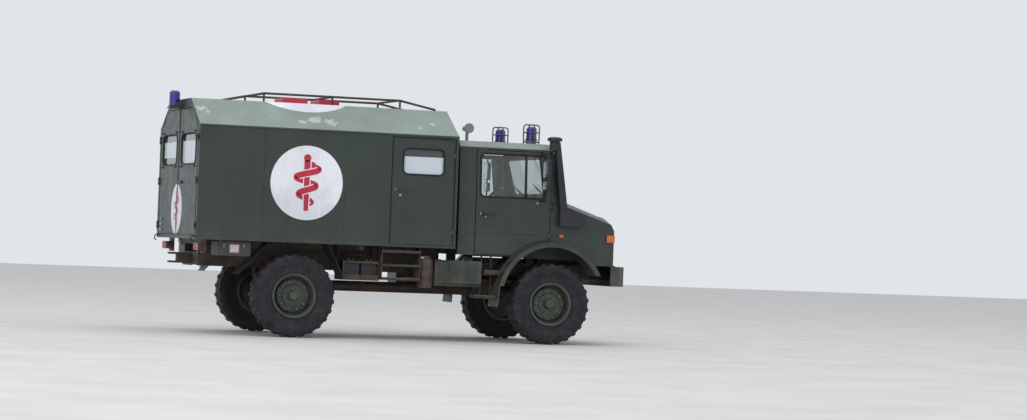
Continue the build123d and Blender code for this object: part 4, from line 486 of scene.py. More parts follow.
def between(points, low, high):
    """A round outline clipped to a band of heights."""
    kept = []
    for u, v in points:
        place = (u, min(max(v, low), high))
        if not kept or math.dist(place, kept[-1]) > 1e-5:
            kept.append(place)
    return kept


def on_wall(side, y=wall_y):
    """Maps (x, z, w outward) onto a side wall."""
    return lambda u, v, w: (u, side * (y + w), v)


def on_cab(side):
    """Maps (x, z, w outward) onto the cab's side, which leans above the waist."""
    return lambda u, v, w: (u, side * (cab_y - max(0.0, v - waist_z) * cab_lean + w), v)


def on_cross(x=back_x):
    """Maps (y, z, w backward) onto a wall across the truck."""
    return lambda u, v, w: (x - w, u, v)


# Stage

def make_floor():
    floor = Mesh().block((-60, -60, -0.05), (60, 60, 0)).as_object("floor")
    s = Surface("floor")
    tint = s.mix(s.ramp(s.noise(0.9, 6, 0.6), 0.3, 0.7), (0.60, 0.59, 0.57), (0.67, 0.66, 0.64))
    floor.data.materials.append(s.finish(tint, 0.92, s.bump(s.noise(45, 6, 0.7), 0.15, 0.002)))


def area_light(name, place, target, size, energy, colour):
    data = bpy.data.lights.new(name, "AREA")
    data.shape, data.size, data.energy, data.color = "SQUARE", size, energy, colour
    light = placed(name, data)
    light.location = place
    light.rotation_euler = (Vector(target) - Vector(place)).to_track_quat("-Z", "Y").to_euler()


def make_lights():
    world = bpy.data.worlds.new("world")
    world.use_nodes = True
    sky = world.node_tree.nodes["Background"].inputs
    sky["Color"].default_value, sky["Strength"].default_value = (0.92, 0.95, 1.0, 1), 0.82
    bpy.context.scene.world = world
    area_light("overhead", (-1.0, -4.0, 20.0), (0, 0, 1.5), 30.0, 1500, (1.0, 0.985, 0.96))
    area_light("key", (-17, -20, 13), (-0.5, 0, 1.4), 12.0, 1500, (1.0, 0.97, 0.94))
    bpy.context.scene.view_settings.view_transform = "Standard"


# Wheels

tyre_cheek = [(0.1172, 0.2512), (0.1178, 0.2732), (0.1240, 0.2810), (0.1285, 0.2840), (0.1292, 0.2930),
              (0.1275, 0.2975), (0.1312, 0.3220), (0.1400, 0.3580), (0.1470, 0.3850), (0.1497, 0.3880),
              (0.1512, 0.3960), (0.1500, 0.4000), (0.1535, 0.4200), (0.1548, 0.4340), (0.1525, 0.4440),
              (0.1468, 0.4640), (0.1400, 0.4790), (0.1250, 0.4865), (0.0600, 0.4880)]
# Distance from the tyre's middle, radius, half width as a share of a sector
lug_section = [(0.010, 0.480, 0.46), (0.012, 0.4992, 0.38), (0.070, 0.4997, 0.37), (0.137, 0.4992, 0.38),
               (0.1545, 0.4360, 0.41), (0.1500, 0.4240, 0.45), (0.1200, 0.4740, 0.46)]
lug_sectors = 52


def round_wheel(centre, turns, y, radius):
    """A point at a share of a turn round a wheel, and a distance out from its middle."""
    angle = 2 * math.pi * turns
    return centre + Vector((radius * math.sin(angle), y, radius * math.cos(angle)))


def make_tyre(name, body, centre, side):
    lugs = Mesh()
    for i in range(lug_sectors):
        y_side = side if i % 2 == 0 else -side
        lugs.skin([[round_wheel(centre, (i + hand * half) / lug_sectors, y_side * y, r) for y, r, half in lug_section]
                   for hand in (-1, 1)])
    bmesh.ops.bevel(lugs.bm, geom=list(lugs.bm.edges), offset=0.0035, segments=2, affect="EDGES", profile=0.6)
    profile = tyre_cheek + [(-y, r) for y, r in reversed(tyre_cheek)]
    lugs.turned(centre, (0, 1, 0), profile, 104, ring=True)
    lugs.made(name, "tyre_black", body, replaces=(name.replace("detail_", ""),))


def make_rim_details(name, body, centre, side):
    outward = Vector((0, side, 0))
    stud_circle, studs = 0.1680, 10
    rim = Mesh()
    for y, radius, thick in ((0.1290, 0.2670, 0.0045), (0.0620, 0.2395, 0.0050), (0.0520, 0.1420, 0.0040),
                             (0.0400, 0.1960, 0.0035)):
        rim.tube([round_wheel(centre, k / 72, side * y, radius) for k in range(72)], thick, closed=True)
    rim.turned(centre, outward, [(0.036, 0.1240), (0.045, 0.1235), (0.045, 0.1130), (0.036, 0.1120)], 64, ring=True)
    rim.turned(centre, outward, [(0.096, 0.0530), (0.104, 0.0520), (0.106, 0.0450), (0.104, 0.0430)], 48, ring=True)
    for k in range(studs):
        place = round_wheel(centre, (k + 0.5) / studs, side * 0.0455, stud_circle)
        rim.turned(place, outward, [(-0.004, 0.0200), (0.004, 0.0195), (0.007, 0.0160)])
    for k in range(8):
        rim.bolt(round_wheel(centre, (k + 0.5) / 8, side * 0.0400, 0.0920), outward, 0.0090, 0.009)
    rim.made(f"rim_details_{name}", "wheel_green", body)
    nuts = Mesh()
    for k in range(studs):
        place = round_wheel(centre, (k + 0.5) / studs, side * 0.0510, stud_circle)
        nuts.turned(place, outward, [(0.0, 0.0145), (0.017, 0.0145), (0.020, 0.0120)], 6)
        nuts.turned(place, outward, [(0.018, 0.0075), (0.027, 0.0075), (0.028, 0.0060)], 12)
    valve = round_wheel(centre, 0.31, side * 0.0300, 0.2200)
    tip = round_wheel(centre, 0.31, side * 0.0900, 0.2100)
    nuts.tube([valve, (valve + tip) / 2 + Vector((0, side * 0.006, 0)), tip], 0.0045)
    nuts.made(f"wheel_nuts_{name}", "nut_steel", body)


def make_wheels():
    for axle, x in (("front", 1.840), ("rear", -1.410)):
        for side, hand in sides:
            centre, body = Vector((x, side * 0.93, 0.5)), f"wheel_{axle}_{hand}"
            make_tyre(f"detail_tyre_{axle}_{hand}", body, centre, side)
            make_rim_details(f"{axle}_{hand}", body, centre, side)


# Windows: rubber seals, frosted film, a dark sheet of painted shade behind the upper glass, clips and bars

def seal(name, body, outline, place, radius):
    Mesh().loop(outline, place, 0.0, radius).made(name, "seal_rubber", body)


def make_windows():
    for side, hand, body, depth in ((1, "left", "chassis", 0.014), (-1, "right", "side_door", 0.020)):
        seal(f"side_window_seal_{hand}", body, rounded(-0.142, 0.374, 2.015, 2.329, 0.060), on_wall(side), 0.011)
        inner, pane = on_wall(side, wall_y - depth), rounded(-0.141, 0.373, 2.016, 2.328, 0.059)
        film = Mesh().plate(between(pane, 2.016, 2.232), inner, 0.0002, 0.0012)
        film.made(f"side_window_film_{hand}", "frosted", body)
        # A dark sheet just inside the upper glass: painted shade standing for the dark inside of the box
        shade_sheet = Mesh().plate(between(pane, 2.234, 2.328), inner, -0.012, -0.010)
        shade_sheet.made(f"side_window_shade_sheet_{hand}", "dark_cloth_and_window_shade", body)
    for side, hand in sides:
        body = f"rear_door_{hand}"
        y0, y1 = sorted((side * 0.13, side * 0.95))
        seal(f"rear_window_seal_{hand}", body, rounded(y0, y1, 2.030, 2.400, 0.080), on_cross(), 0.009)
        pane = rounded(y0 + 0.001, y1 - 0.001, 2.031, 2.399, 0.079)
        film = Mesh().plate(between(pane, 2.118 if side > 0 else 2.031, 2.312), on_cross(-2.634), 0.0002, 0.0012)
        film.made(f"rear_window_film_{hand}", "frosted", body)
        clips = Mesh()
        for y in (y0 + 0.03, y1 - 0.03):
            for z in (2.425, 2.005):
                clips.block((-2.668, y - 0.022, z - 0.010), (-2.653, y + 0.022, z + 0.010))
                clips.turned((-2.668, y, z), (-1, 0, 0), [(-0.002, 0.012), (0.004, 0.012), (0.006, 0.008)], 12)
        clips.made(f"rear_window_clips_{hand}", "black_plastic", body, bevel=0.002)
    for side, hand in sides:
        body, place = f"cab_door_{hand}", on_cab(side)
        seal(f"cab_window_seal_{hand}", body, rounded(0.902, 1.745, waist_z, 2.320, 0.050), place, 0.012)
        bars = Mesh()
        for ends, wide, out in ((((1.476, 1.792), (1.476, 2.318)), 0.024, 0.004),
                                (((1.722, 1.800), (1.655, 2.318)), 0.016, 0.003)):
            bars.skin([[place(u, z, w) for u, w in square(x, x + wide, -0.022, out)] for x, z in ends])
        bars.made(f"cab_window_bars_{hand}", "seal_rubber", body, bevel=0.002)
        filler = Mesh().plate([(1.740, 1.830), (1.742, 2.270), (1.700, 2.316), (1.668, 2.316)], place, -0.016, 0.001)
        filler.made(f"quarter_light_corner_{hand}", "body_green", body, bevel=0.001)
    seal("cab_rear_window_seal", "chassis", rounded(-0.62, 0.62, 1.88, 2.26, 0.05), on_cross(0.630), 0.014)
    middle = Vector((1.920, 0, 2.0825)) + screen_out * 0.001
    half = math.hypot(screen_back, screen_rise) / 2 - 0.070
    seal("windscreen_seal", "chassis", rounded(-0.895, 0.895, -half, half, 0.060),
         lambda u, v, w: middle + screen_up * v + Vector((0, u, 0)), 0.014)


# Signs: a white disc with a red staff and serpent

def emblem(name, body, place, radius, cut=None):
    """The disc and its staff; cut is a plane that takes the other door's half away."""
    size = radius / 0.445
    turns, low, high, steps = 2.5, -0.285 * size, 0.215 * size, 120
    spine, widths = [], []
    for k in range(steps + 1):
        share = k / steps
        swing = (0.070 + 0.085 * share) * size
        spine.append((swing * math.sin(2 * math.pi * turns * share), low + (high - low) * share))
        widths.append(size * (0.008 + 0.028 * min(1.0, share * 4) - 0.007 * max(0.0, share - 0.85) / 0.15))
    head_u, head_v = spine[-1]
    staff, wide = [[(size * u, size * v) for u, v in ((-foot, v0), (foot, v0), (top, v1), (-top, v1))]
                   for foot, top, v0, v1 in ((0.028, 0.039, -0.335, 0.270), (0.040, 0.051, -0.345, 0.275))]
    head = [(head_u + size * a, head_v + size * b) for a, b in (
        (-0.035, -0.012), (0.02, -0.03), (0.085, -0.008), (0.105, 0.022), (0.06, 0.042), (-0.01, 0.034),
        (-0.04, 0.016))]
    serpent = Mesh().strip(spine, widths, place, 0.0012, 0.0018).plate(head, place, 0.0012, 0.0020)
    rod = Mesh().plate(staff, place, 0.0022, 0.0028)
    rod.plate(circle(0, 0.298 * size, 0.046 * size, 32), place, 0.0022, 0.0028)
    layers = [("disc", "white_paint", Mesh().plate(circle(0, 0, radius), place, 0.0002, 0.0012)),
              ("serpent", "red_paint", serpent),
              ("staff_edge", "white_paint", Mesh().plate(wide, place, 0.0012, 0.0022)),
              ("staff", "red_paint", rod)]
    # Where the serpent passes over the staff
    for k in range(2):
        first, last = (round(steps * (k + share) / turns) for share in (0.78, 1.22))
        over, half = spine[first:last + 1], widths[first:last + 1]
        edge = Mesh().strip(over, [h + 0.011 * size for h in half], place, 0.0028, 0.0034)
        layers.append((f"serpent_edge_{k}", "white_paint", edge))
        layers.append((f"serpent_over_{k}", "red_paint", Mesh().strip(over, half, place, 0.0034, 0.0040)))
    for layer, material, mesh in layers:
        if cut:
            mesh.cut(*cut)
        if mesh.bm.faces:
            mesh.made(f"{name}_{layer}", material, body, smooth=False)
        else:
            mesh.bm.free()


def make_signs():
    for side, hand in sides:
        emblem(f"side_sign_{hand}", "chassis",
               lambda u, v, w, side=side: (-1.335 - side * u, side * (wall_y + w), 1.855 + v), 0.445)
    for side, hand in sides:
        plane = (Vector((0, side * 0.005, 0)), Vector((0, -side, 0)))
        emblem(f"rear_sign_{hand}", f"rear_door_{hand}", lambda u, v, w: (back_x - w, 0.030 - u, 1.487 + v), 0.305,
               plane)
    make_roof_disc()


def roof_height(y):
    """Height of the box's roof, which is flat in the middle and falls to the walls."""
    return roof_crown_z - max(0.0, abs(y) - roof_flat_y) * 0.331 / 0.572


def make_roof_disc():
    radius, middle_x = 0.77, -1.24
    rings = []
    for y in sorted({-roof_flat_y, roof_flat_y} | {radius * math.sin(math.radians(a)) for a in range(-88, 89, 8)}):
        half = math.sqrt(max(radius ** 2 - y * y, 1e-6))
        rings.append([(x, y, roof_height(y) + lift)
                      for x, lift in square(middle_x - half, middle_x + half, 0.0004, 0.0020)])
    Mesh().skin(rings).made("roof_sign", "white_paint", smooth=False)


# Box body: corner trims, rivets, seams, door edges, locks and rings

def make_box_trim():
    gutter = ((gutter_z, -0.002), (2.496, -0.002), (2.502, 0.004), (2.490, 0.012), (gutter_z, 0.010))
    sill = ((1.135, -0.002), (1.135, 0.006), (1.160, 0.006), (sill_z, 0.0))
    for side, hand in sides:
        place = on_wall(side)
        trim = Mesh()
        for section in (gutter, sill):
            trim.skin([[place(x, z, w) for z, w in section] for x in (back_x, box_front_x)])
        for x0, x1 in ((back_x, -2.612), (0.522, box_front_x)):
            post = ((x0, -0.002), (x1, -0.002), (x1 - 0.004, 0.0035), (x0, 0.0035))
            trim.skin([[place(x, z, w) for x, w in post] for z in (sill_z, gutter_z)])
        trim.made(f"box_trim_{hand}", "body_green", smooth=False)
        heads = Mesh()
        for x in (-2.600 + k * 0.1075 for k in range(30)):
            if side > 0 or not -0.30 < x < 0.54:
                for z in (1.185, 2.466):
                    heads.rivet(place(x, z, 0), (0, side, 0), 0.005)
        heads.made(f"box_rivets_{hand}", "body_green")
    seams = Mesh()
    for side, spans in ((1, (-1.86, -0.86, -0.30)), (-1, (-1.86, -0.86))):
        for x in spans:
            seams.plate(square(x - 0.0015, x + 0.0015, sill_z, gutter_z), on_wall(side), 0.0, 0.0008)
    seams.made("box_seams", "seal_rubber", smooth=False)
    door = Mesh().loop(rounded(-0.268, 0.502, 1.180, 2.447, 0.012, 2), on_wall(-1), 0.0, 0.005, 6)
    door.made("side_door_edge", "body_green", "side_door")
    for side, hand in sides:
        y0, y1, y2 = 0.014, 1.073, 0.795
        outline = [(y0, 1.193), (y1, 1.193), (y1, roof_height(y1) - 0.092), (y2, 2.693), (y0, 2.693)]
        edge = Mesh().loop([(side * y, z) for y, z in outline], on_cross(), 0.0, 0.005, 6)
        edge.made(f"rear_door_edge_{hand}", "body_green", f"rear_door_{hand}")


def make_box_fittings():
    place = on_wall(-1)
    lock = Mesh().turned(place(-0.167, 1.760, 0), (0, -1, 0), [(-0.002, 0.016), (0.005, 0.016), (0.007, 0.010)])
    lock.turned(place(-0.230, 1.830, 0), (0, -1, 0), [(-0.002, 0.010), (0.004, 0.010)], 16)
    lock.made("side_door_lock", "bare_steel", "side_door")
    lock = Mesh().turned((back_x, -0.215, 1.750), (-1, 0, 0), [(-0.002, 0.015), (0.006, 0.015), (0.008, 0.010)])
    lock.made("rear_door_lock", "bare_steel", "rear_door_right")
    boss = Mesh().turned((back_x, 0.055, 1.755), (-1, 0, 0),
                         [(-0.002, 0.030), (0.006, 0.030), (0.012, 0.022), (0.012, 0.010)], 28)
    boss.made("rear_door_lock_boss", "white_paint", "rear_door_left")
    grips = Mesh()
    for z in (1.240, 1.305, 1.370):
        grips.block((-2.672, 0.860, z - 0.018), (-2.653, 0.915, z + 0.018))
    grips.made("rear_door_grips", "bare_steel", "rear_door_left", bevel=0.004)
    for side, hand in sides:
        y = side * 1.075
        stay = Mesh().tube([(-2.648, y, 1.176), (-2.690, y, 1.165), (-2.700, y, 1.120), (-2.672, y, 1.100)], 0.008)
        stay.block((-2.664, y - 0.030, 1.150), (-2.652, y + 0.030, 1.178))
        stay.made(f"rear_door_catch_{hand}", "black_plastic", bevel=0.002)
        rings = Mesh()
        for x in (-2.35, -0.62, 0.30) if side > 0 else (-2.35, -0.62):
            rings.block((x - 0.030, side * 1.120 - 0.010, 1.085), (x + 0.030, side * 1.120 + 0.010, 1.136))
            rings.loop(circle(x, 1.098, 0.022, 16), on_wall(side, 1.138), 0.0, 0.005, 6)
        rings.made(f"lashing_rings_{hand}", "chassis_black", bevel=0.002)


# Cab: creases, gutters, locks and beacon guards

def make_cab_details():
    for side, hand in sides:
        place, body = on_cab(side), f"cab_door_{hand}"
        door = Mesh()
        for z, x1, radius in ((1.345, 1.700, 0.006), (1.440, 1.796, 0.0035), (1.520, 1.796, 0.0035),
                              (1.620, 1.796, 0.0035)):
            door.tube([place(0.866, z, -0.0015), place(x1, z, -0.0015)], radius, 6)
        door.made(f"cab_door_creases_{hand}", "body_green", body)
        edge = Mesh()
        for x0, x1 in ((0.640, 0.843), (1.825, 1.990)):
            edge.tube([place(x, 1.345, -0.001) for x in (x0, x1)], 0.006, 6)
        edge.tube([(x, side * 0.9725, 2.386) for x in (0.632, 1.862)], 0.009)
        edge.made(f"cab_side_trim_{hand}", "body_green")
        lock = Mesh()
        lock.turned(place(0.906, 1.578, 0.010), (0, side, 0), [(-0.004, 0.013), (0.010, 0.013), (0.013, 0.009)])
        lock.turned(place(0.975, 1.545, 0), (0, side, 0), [(-0.002, 0.011), (0.004, 0.011), (0.005, 0.008)], 16)
        lock.turned(place(1.640, 1.735, 0), (0, side, 0), [(-0.002, 0.014), (0.006, 0.014), (0.010, 0.009)], 16)
        lock.made(f"cab_door_lock_{hand}", "bare_steel", body)
    make_beacon_guards()


def make_beacon_guards():
    radius, foot = 0.103, -0.018
    guards = Mesh()
    for y in (beacon_y, -beacon_y):
        centre = Vector((beacon_x, y, beacon_z + 0.001))
        for across in (Vector((1, 0, 0)), Vector((0, 1, 0))):
            hoop = rounded(-radius, radius, -0.020, 0.196, 0.035, 5)
            guards.tube([centre + across * u + Vector((0, 0, v)) for u, v in hoop], 0.0085, closed=True)
        for z in (0.100, foot):
            guards.tube([centre + Vector((u, v, z)) for u, v in circle(0, 0, radius, 32)], 0.006, closed=True)
        for u, v in circle(0, 0, radius, 4):
            guards.tube([centre + Vector((u, v, z)) for z in (foot, foot - 0.030)], 0.008)
    guards.made("beacon_guards", "guard_steel")
    bases = Mesh()
    for place in ((beacon_x, beacon_y, beacon_z), (beacon_x, -beacon_y, beacon_z), (-2.735, 0, 2.722)):
        bases.turned(place, (0, 0, 1), [(0.0, 0.0748), (0.022, 0.0748), (0.026, 0.070), (0.026, 0.060)], 40)
    bases.made("beacon_bases", "black_plastic")


# Steps, tanks, silencer and lamps

def add_tooth(mesh, x, y0, y1, z, rise):
    """One tooth of a grating, across the truck from y0 to y1."""
    mesh.skin([[(x, y, z - 0.001), (x + 0.010, y, z - 0.001), (x + 0.005, y, z + rise)] for y in (y0, y1)])


def make_steps():
    treads, bolts = Mesh(), Mesh()
    x0, x1, face = -0.341, 0.151, -1.080
    for z in (1.085, 0.755):
        for k in range(40):
            add_tooth(treads, x0 + 0.006 + k * 0.0121, face + 0.001, face + 0.004, z, 0.009)
    for z in (1.086, 0.921, 0.756):
        for x in (x0 + 0.035 + k * 0.035 for k in range(13)):
            for lean in (-0.024, 0.024):
                treads.tube([(x - lean, face + 0.012, z), (x + lean, -0.850, z)], 0.0022, 4)
    treads.made("side_step_treads", "tread_steel", smooth=False)
    for x, outward in ((x0, -1), (x1, 1)):
        for z in (1.070, 0.905, 0.742):
            bolts.bolt((x, -0.96, z), (outward, 0, 0), 0.008, 0.007)
    bolts.made("side_step_bolts", "nut_steel")
    for side, hand in sides:
        tread = Mesh()
        for low, high, z, y in ((0.965, 1.161, 0.884, 0.880), (0.842, 1.108, 0.576, 0.900)):
            count = int((high - low) / 0.013)
            for k in range(count):
                for edge in (y + 0.004, y + 0.203):
                    add_tooth(tread, low + k * 0.013, side * edge, side * (edge + 0.003), z, 0.008)
            for x in (low + 0.010 + k * 0.026 for k in range(count // 2)):
                tread.tube([(x, side * (y + 0.006), z), (x, side * (y + 0.202), z)], 0.003, 4)
        tread.made(f"cab_step_treads_{hand}", "tread_steel", smooth=False)


def make_tank_and_boxes():
    up = (0, 0, 1)
    shield = Mesh()
    centre = Vector((0.244, -0.950, 0.648))
    for a in (math.radians(180 + 22.5 * k) for k in range(9)):
        u, v = 0.0915 * math.cos(a), 0.0915 * math.sin(a)
        shield.tube([centre + Vector((u, v, z)) for z in (0.030, 0.325)], 0.006, 6)
    bands = [[(z + w, r) for w, r in ((-0.012, 0.0895), (-0.012, 0.0955), (0.012, 0.0955), (0.012, 0.0895))]
             for z in (0.040, 0.180, 0.320)]
    rim = [(0.352, 0.0600), (0.356, 0.0800), (0.349, 0.0915), (0.341, 0.0915), (0.341, 0.0600)]
    for profile in (*bands, rim):
        shield.turned(centre, up, profile, 40, ring=True)
    shield.made("silencer_shield", "rust_brown")
    # The cap's pale matt paint is a painted sheen for shiny metal
    cap = Mesh().turned((0.190, -0.985, 1.000), up, [(0.0, 0.026), (0.022, 0.026), (0.028, 0.020)], 28)
    cap.made("silencer_cap", "pale_plate_and_cap_sheen")
    trim = Mesh()
    rib = ((-0.009, -1.0575), (0.009, -1.0575), (0.004, -1.0625), (-0.004, -1.0625))
    for x in (0.400 + k * 0.118 for k in range(5)):
        trim.skin([[(x + u, y, z) for u, y in rib] for z in (0.730, 0.945)])
    trim.turned((0.820, -0.900, 0.990), up, [(0.0, 0.045), (0.020, 0.045), (0.028, 0.036)], 32)
    trim.made("tank_ribs", "body_green", bevel=0.001)
    latches = Mesh()
    for side, _ in sides:
        for x in (-2.300, -2.060):
            latches.block((x - 0.014, side * 1.0975 - 0.006, 1.040), (x + 0.014, side * 1.0975 + 0.006, 1.098))
            latches.turned((x, side * 1.100, 1.050), (0, side, 0), [(0.0, 0.010), (0.008, 0.010), (0.010, 0.006)], 16)
    latches.made("locker_latches", "nut_steel", bevel=0.002)
    caps = Mesh()
    for x in (-0.745, -0.690, -0.635, -0.540, -0.485, -0.430):
        caps.turned((x, -0.930, 0.934), up, [(0.0, 0.014), (0.008, 0.014), (0.011, 0.009)], 16)
    caps.made("battery_vents", "black_plastic")
    leads = Mesh().tube([(-0.735, -0.860, 0.970), (-0.700, -0.900, 1.005), (-0.600, -0.930, 1.020),
                         (-0.520, -0.900, 1.005), (-0.450, -0.860, 0.970)], 0.008)
    leads.made("battery_leads", "black_plastic")
    lid = on_wall(-1, 1.0902)
    sign = Mesh().plate(rounded(-2.232, -2.112, 0.985, 1.090, 0.006, 2), lid, 0.0, 0.003)
    sign.made("locker_sign", "pale_plate_and_cap_sheen", smooth=False)
    edge = Mesh().loop(rounded(-2.226, -2.118, 0.991, 1.084, 0.004, 2), lid, 0.003, 0.004, 4)
    edge.made("locker_sign_edge", "red_paint", smooth=False)


def make_rear_lamps():
    for side, hand in sides:
        place = lambda y, z, w, side=side: (-2.593 - w, side * y, z)
        for name, finish, y0, y1 in (("indicator", "orange_lens", 0.958, 1.034), ("tail", "red_lens", 0.872, 0.952),
                                     ("reversing", "lamp_glass", 0.786, 0.866)):
            cover = Mesh().plate(rounded(y0, y1, 1.006, 1.086, 0.010, 3), place, 0.0, 0.012)
            for y in (y0 + 0.012 + k * (y1 - y0 - 0.024) / 5 for k in range(6)):
                cover.plate(square(y - 0.003, y + 0.003, 1.012, 1.080), place, 0.012, 0.014)
            cover.made(f"rear_{name}_{hand}", finish, bevel=0.002)
        rim = Mesh().loop(rounded(0.783, 1.037, 1.003, 1.089, 0.012, 3), place, 0.002, 0.004, 6)
        for y in (0.869, 0.955):
            rim.tube([place(y, 1.004, 0.004), place(y, 1.088, 0.004)], 0.003, 6)
        rim.made(f"rear_lamp_frame_{hand}", "black_plastic")
        disc = [(0.0, 0.013), (0.008, 0.013), (0.010, 0.010)]
        reflector = Mesh().turned((-2.513, side * 0.910, 0.986), (-1, 0, 0), disc, 24)
        reflector.made(f"rear_reflector_{hand}", "red_lens")
    edge = Mesh().loop(rounded(0.416, 0.964, 0.811, 0.902, 0.006, 2), on_cross(-2.352), 0.0, 0.0035, 6)
    edge.made("number_plate_edge", "black_plastic")
    cross = Mesh()
    for y in (-0.215, -0.140):
        for z in (0.870, 0.795):
            cross.block((-2.365, y, z), (-2.361, y + 0.055, z + 0.055))
    cross.made("convoy_plates", "pale_plate_and_cap_sheen", bevel=0.001)
    board = Mesh().block((-2.361, -0.225, 0.785), (-2.345, -0.075, 0.935))
    board.made("convoy_board", "chassis_black", bevel=0.002)


# Front: lamps, grille, wipers, latches, bumper and mirror glass

def make_headlamps():
    forward = (1, 0, 0)
    reflectors, rings = Mesh(), Mesh()
    bowl = [(-0.060, 0.022), (-0.050, 0.050), (-0.020, 0.084), (-0.014, 0.084), (-0.046, 0.046), (-0.055, 0.018)]
    bezel = [(-0.004, 0.0935), (-0.004, 0.108), (0.008, 0.108), (0.012, 0.100), (0.008, 0.0905)]
    for side, _ in sides:
        centre = Vector((2.685, side * 0.660, 1.150))
        reflectors.turned(centre, forward, bowl, 40, ring=True)
        reflectors.turned(centre, forward, [(-0.060, 0.016), (-0.030, 0.014), (-0.026, 0.008)])
        rings.turned(centre, forward, bezel, 48, ring=True)
        for a in (2 * math.pi * (k + 0.5) / 4 for k in range(4)):
            rings.bolt(centre + Vector((0.010, 0.100 * math.sin(a), 0.100 * math.cos(a))), forward, 0.005, 0.004)
    reflectors.made("headlamp_reflectors", "mirror_glass")
    rings.made("headlamp_rings", "body_green")


def make_grille():
    rim = Mesh().loop(rounded(-0.526, 0.526, 1.054, 1.466, 0.014, 3), on_cross(2.6845), 0.0, 0.009)
    for y in (-0.505, 0.505):
        for z in (1.075, 1.260, 1.445):
            rim.bolt((2.686, y * 1.08, z), (1, 0, 0), 0.006, 0.004)
    rim.made("grille_frame", "body_green")
    wires = Mesh()
    for y in (-0.510 + k * 0.020 for k in range(52)):
        wires.tube([(2.652, y, 1.062), (2.652, y, 1.458)], 0.0018, 4)
    wires.made("grille_mesh", "chassis_black")


def make_wipers():
    wipers = Mesh()
    for y in (0.520, -0.300):
        foot = Vector((2.000, y, 1.790)) + screen_out * 0.010 + screen_up * 0.016
        wipers.turned(foot, screen_out, [(-0.014, 0.018), (0.012, 0.016), (0.018, 0.010)])
        tip = foot + screen_up * 0.130 + Vector((0, 0.330, 0)) + screen_out * 0.020
        wipers.tube([foot + screen_out * 0.012, (foot + tip) / 2 + screen_out * 0.014, tip], [0.007, 0.005, 0.004])
        along = (tip - foot).normalized()
        # The blade's rubber, then its holder
        for w0, w1, half in ((0.000, 0.008, 0.003), (0.008, 0.014, 0.006)):
            section = [screen_out * (w - 0.016) + screen_up * h for h, w in square(-half, half, w0, w1)]
            wipers.skin([[end + point for point in section] for end in (tip - along * 0.210, tip + along * 0.160)])
    wipers.made("wipers", "black_plastic", bevel=0.0008)


def make_front():
    make_headlamps()
    make_grille()
    make_wipers()
    latches = Mesh()
    for y in (0.600, -0.600):
        latches.skin([[(x, y + u, z + v) for u, v in ((-0.020, 0), (0.020, 0), (0.018, 0.018), (-0.018, 0.018))]
                      for x, z in ((2.600, 1.588), (2.660, 1.567))])
    latches.made("bonnet_latches", "black_plastic", "bonnet", bevel=0.003)
    ribs = Mesh()
    slope = 0.240 / 0.685
    for y in (-0.420, 0.420):
        ribs.tube([(x, y, 1.8015 - (x - 2.0) * slope) for x in (2.040, 2.640)], 0.009)
    ribs.made("bonnet_ribs", "body_green", "bonnet")
    bolts, pads = Mesh(), Mesh()
    for side, _ in sides:
        for y, z in ((0.520, 0.930), (0.640, 0.930), (0.580, 0.800)):
            bolts.bolt((2.8065, side * y, z), (1, 0, 0), 0.013, 0.0032)
        y0, y1 = side * 0.830 - 0.110, side * 0.830 + 0.110
        pads.skin([[(x, y, z) for x, y in square(2.640 + inset, 2.720 - inset, y0 + inset, y1 - inset)]
                   for z, inset in ((0.988, 0.0), (1.000, 0.006))])
    bolts.made("bumper_bolts", "nut_steel")
    pads.made("bumper_steps", "black_plastic", bevel=0.003)
    for side, hand in sides:
        mirror = Mesh()
        for half, z0, z1 in ((0.077, 2.053, 2.267), (0.067, 1.903, 2.002)):
            y = side * 1.200
            mirror.plate(rounded(y - half, y + half, z0, z1, 0.018, 4), on_cross(1.661), 0.0, 0.0015)
        mirror.made(f"mirror_glass_{hand}", "mirror_glass", f"cab_door_{hand}")


# Padded things: seats and stretchers

def applied(piece):
    """The same piece with its modifiers applied."""
    graph = bpy.context.evaluated_depsgraph_get()
    done = bpy.data.meshes.new_from_object(piece.evaluated_get(graph), depsgraph=graph)
    piece.modifiers.clear()
    old = piece.data
    piece.data = done
    bpy.data.meshes.remove(old)
    return piece


def stuffed(name, finish, low, high, voxel, most, lean=0.0):
    """A pad that fills a box: rounded, remeshed, swelled as cloth by at most a margin and smoothed."""
    low, high = Vector(low), Vector(high)
    margin = most * 0.6
    start = Mesh().block(low + Vector((margin,) * 3), high - Vector((margin,) * 3))
    for vert in start.bm.verts:
        vert.co.x -= lean * (vert.co.z - low.z) / (high.z - low.z)
    piece = start.as_object(name)
    edge = piece.modifiers.new("edge", "BEVEL")
    edge.width, edge.segments = min(high - low) * 0.28, 3
    grid = piece.modifiers.new("grid", "REMESH")
    grid.mode, grid.voxel_size = "VOXEL", voxel
    piece = applied(piece)
    rest = [v.co.copy() for v in piece.data.vertices]
    cloth_step = piece.modifiers.new("swell", "CLOTH")
    settings = cloth_step.settings
    settings.use_pressure = True
    settings.uniform_pressure_force = 4.0
    settings.effector_weights.gravity = 0.0
    scene = bpy.context.scene
    for number in range(1, 16):
        scene.frame_set(number)
    piece = applied(piece)
    scene.frame_set(1)
    for vert, before in zip(piece.data.vertices, rest):
        move = vert.co - before
        if move.length > margin:
            vert.co = before + move.normalized() * margin
    for face in piece.data.polygons:
        face.use_smooth = True
    smooth = piece.modifiers.new("fine", "SUBSURF")
    smooth.levels = smooth.render_levels = 1
    piece.data.materials.clear()
    piece.data.materials.append(mats[finish])
    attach(piece, "chassis")


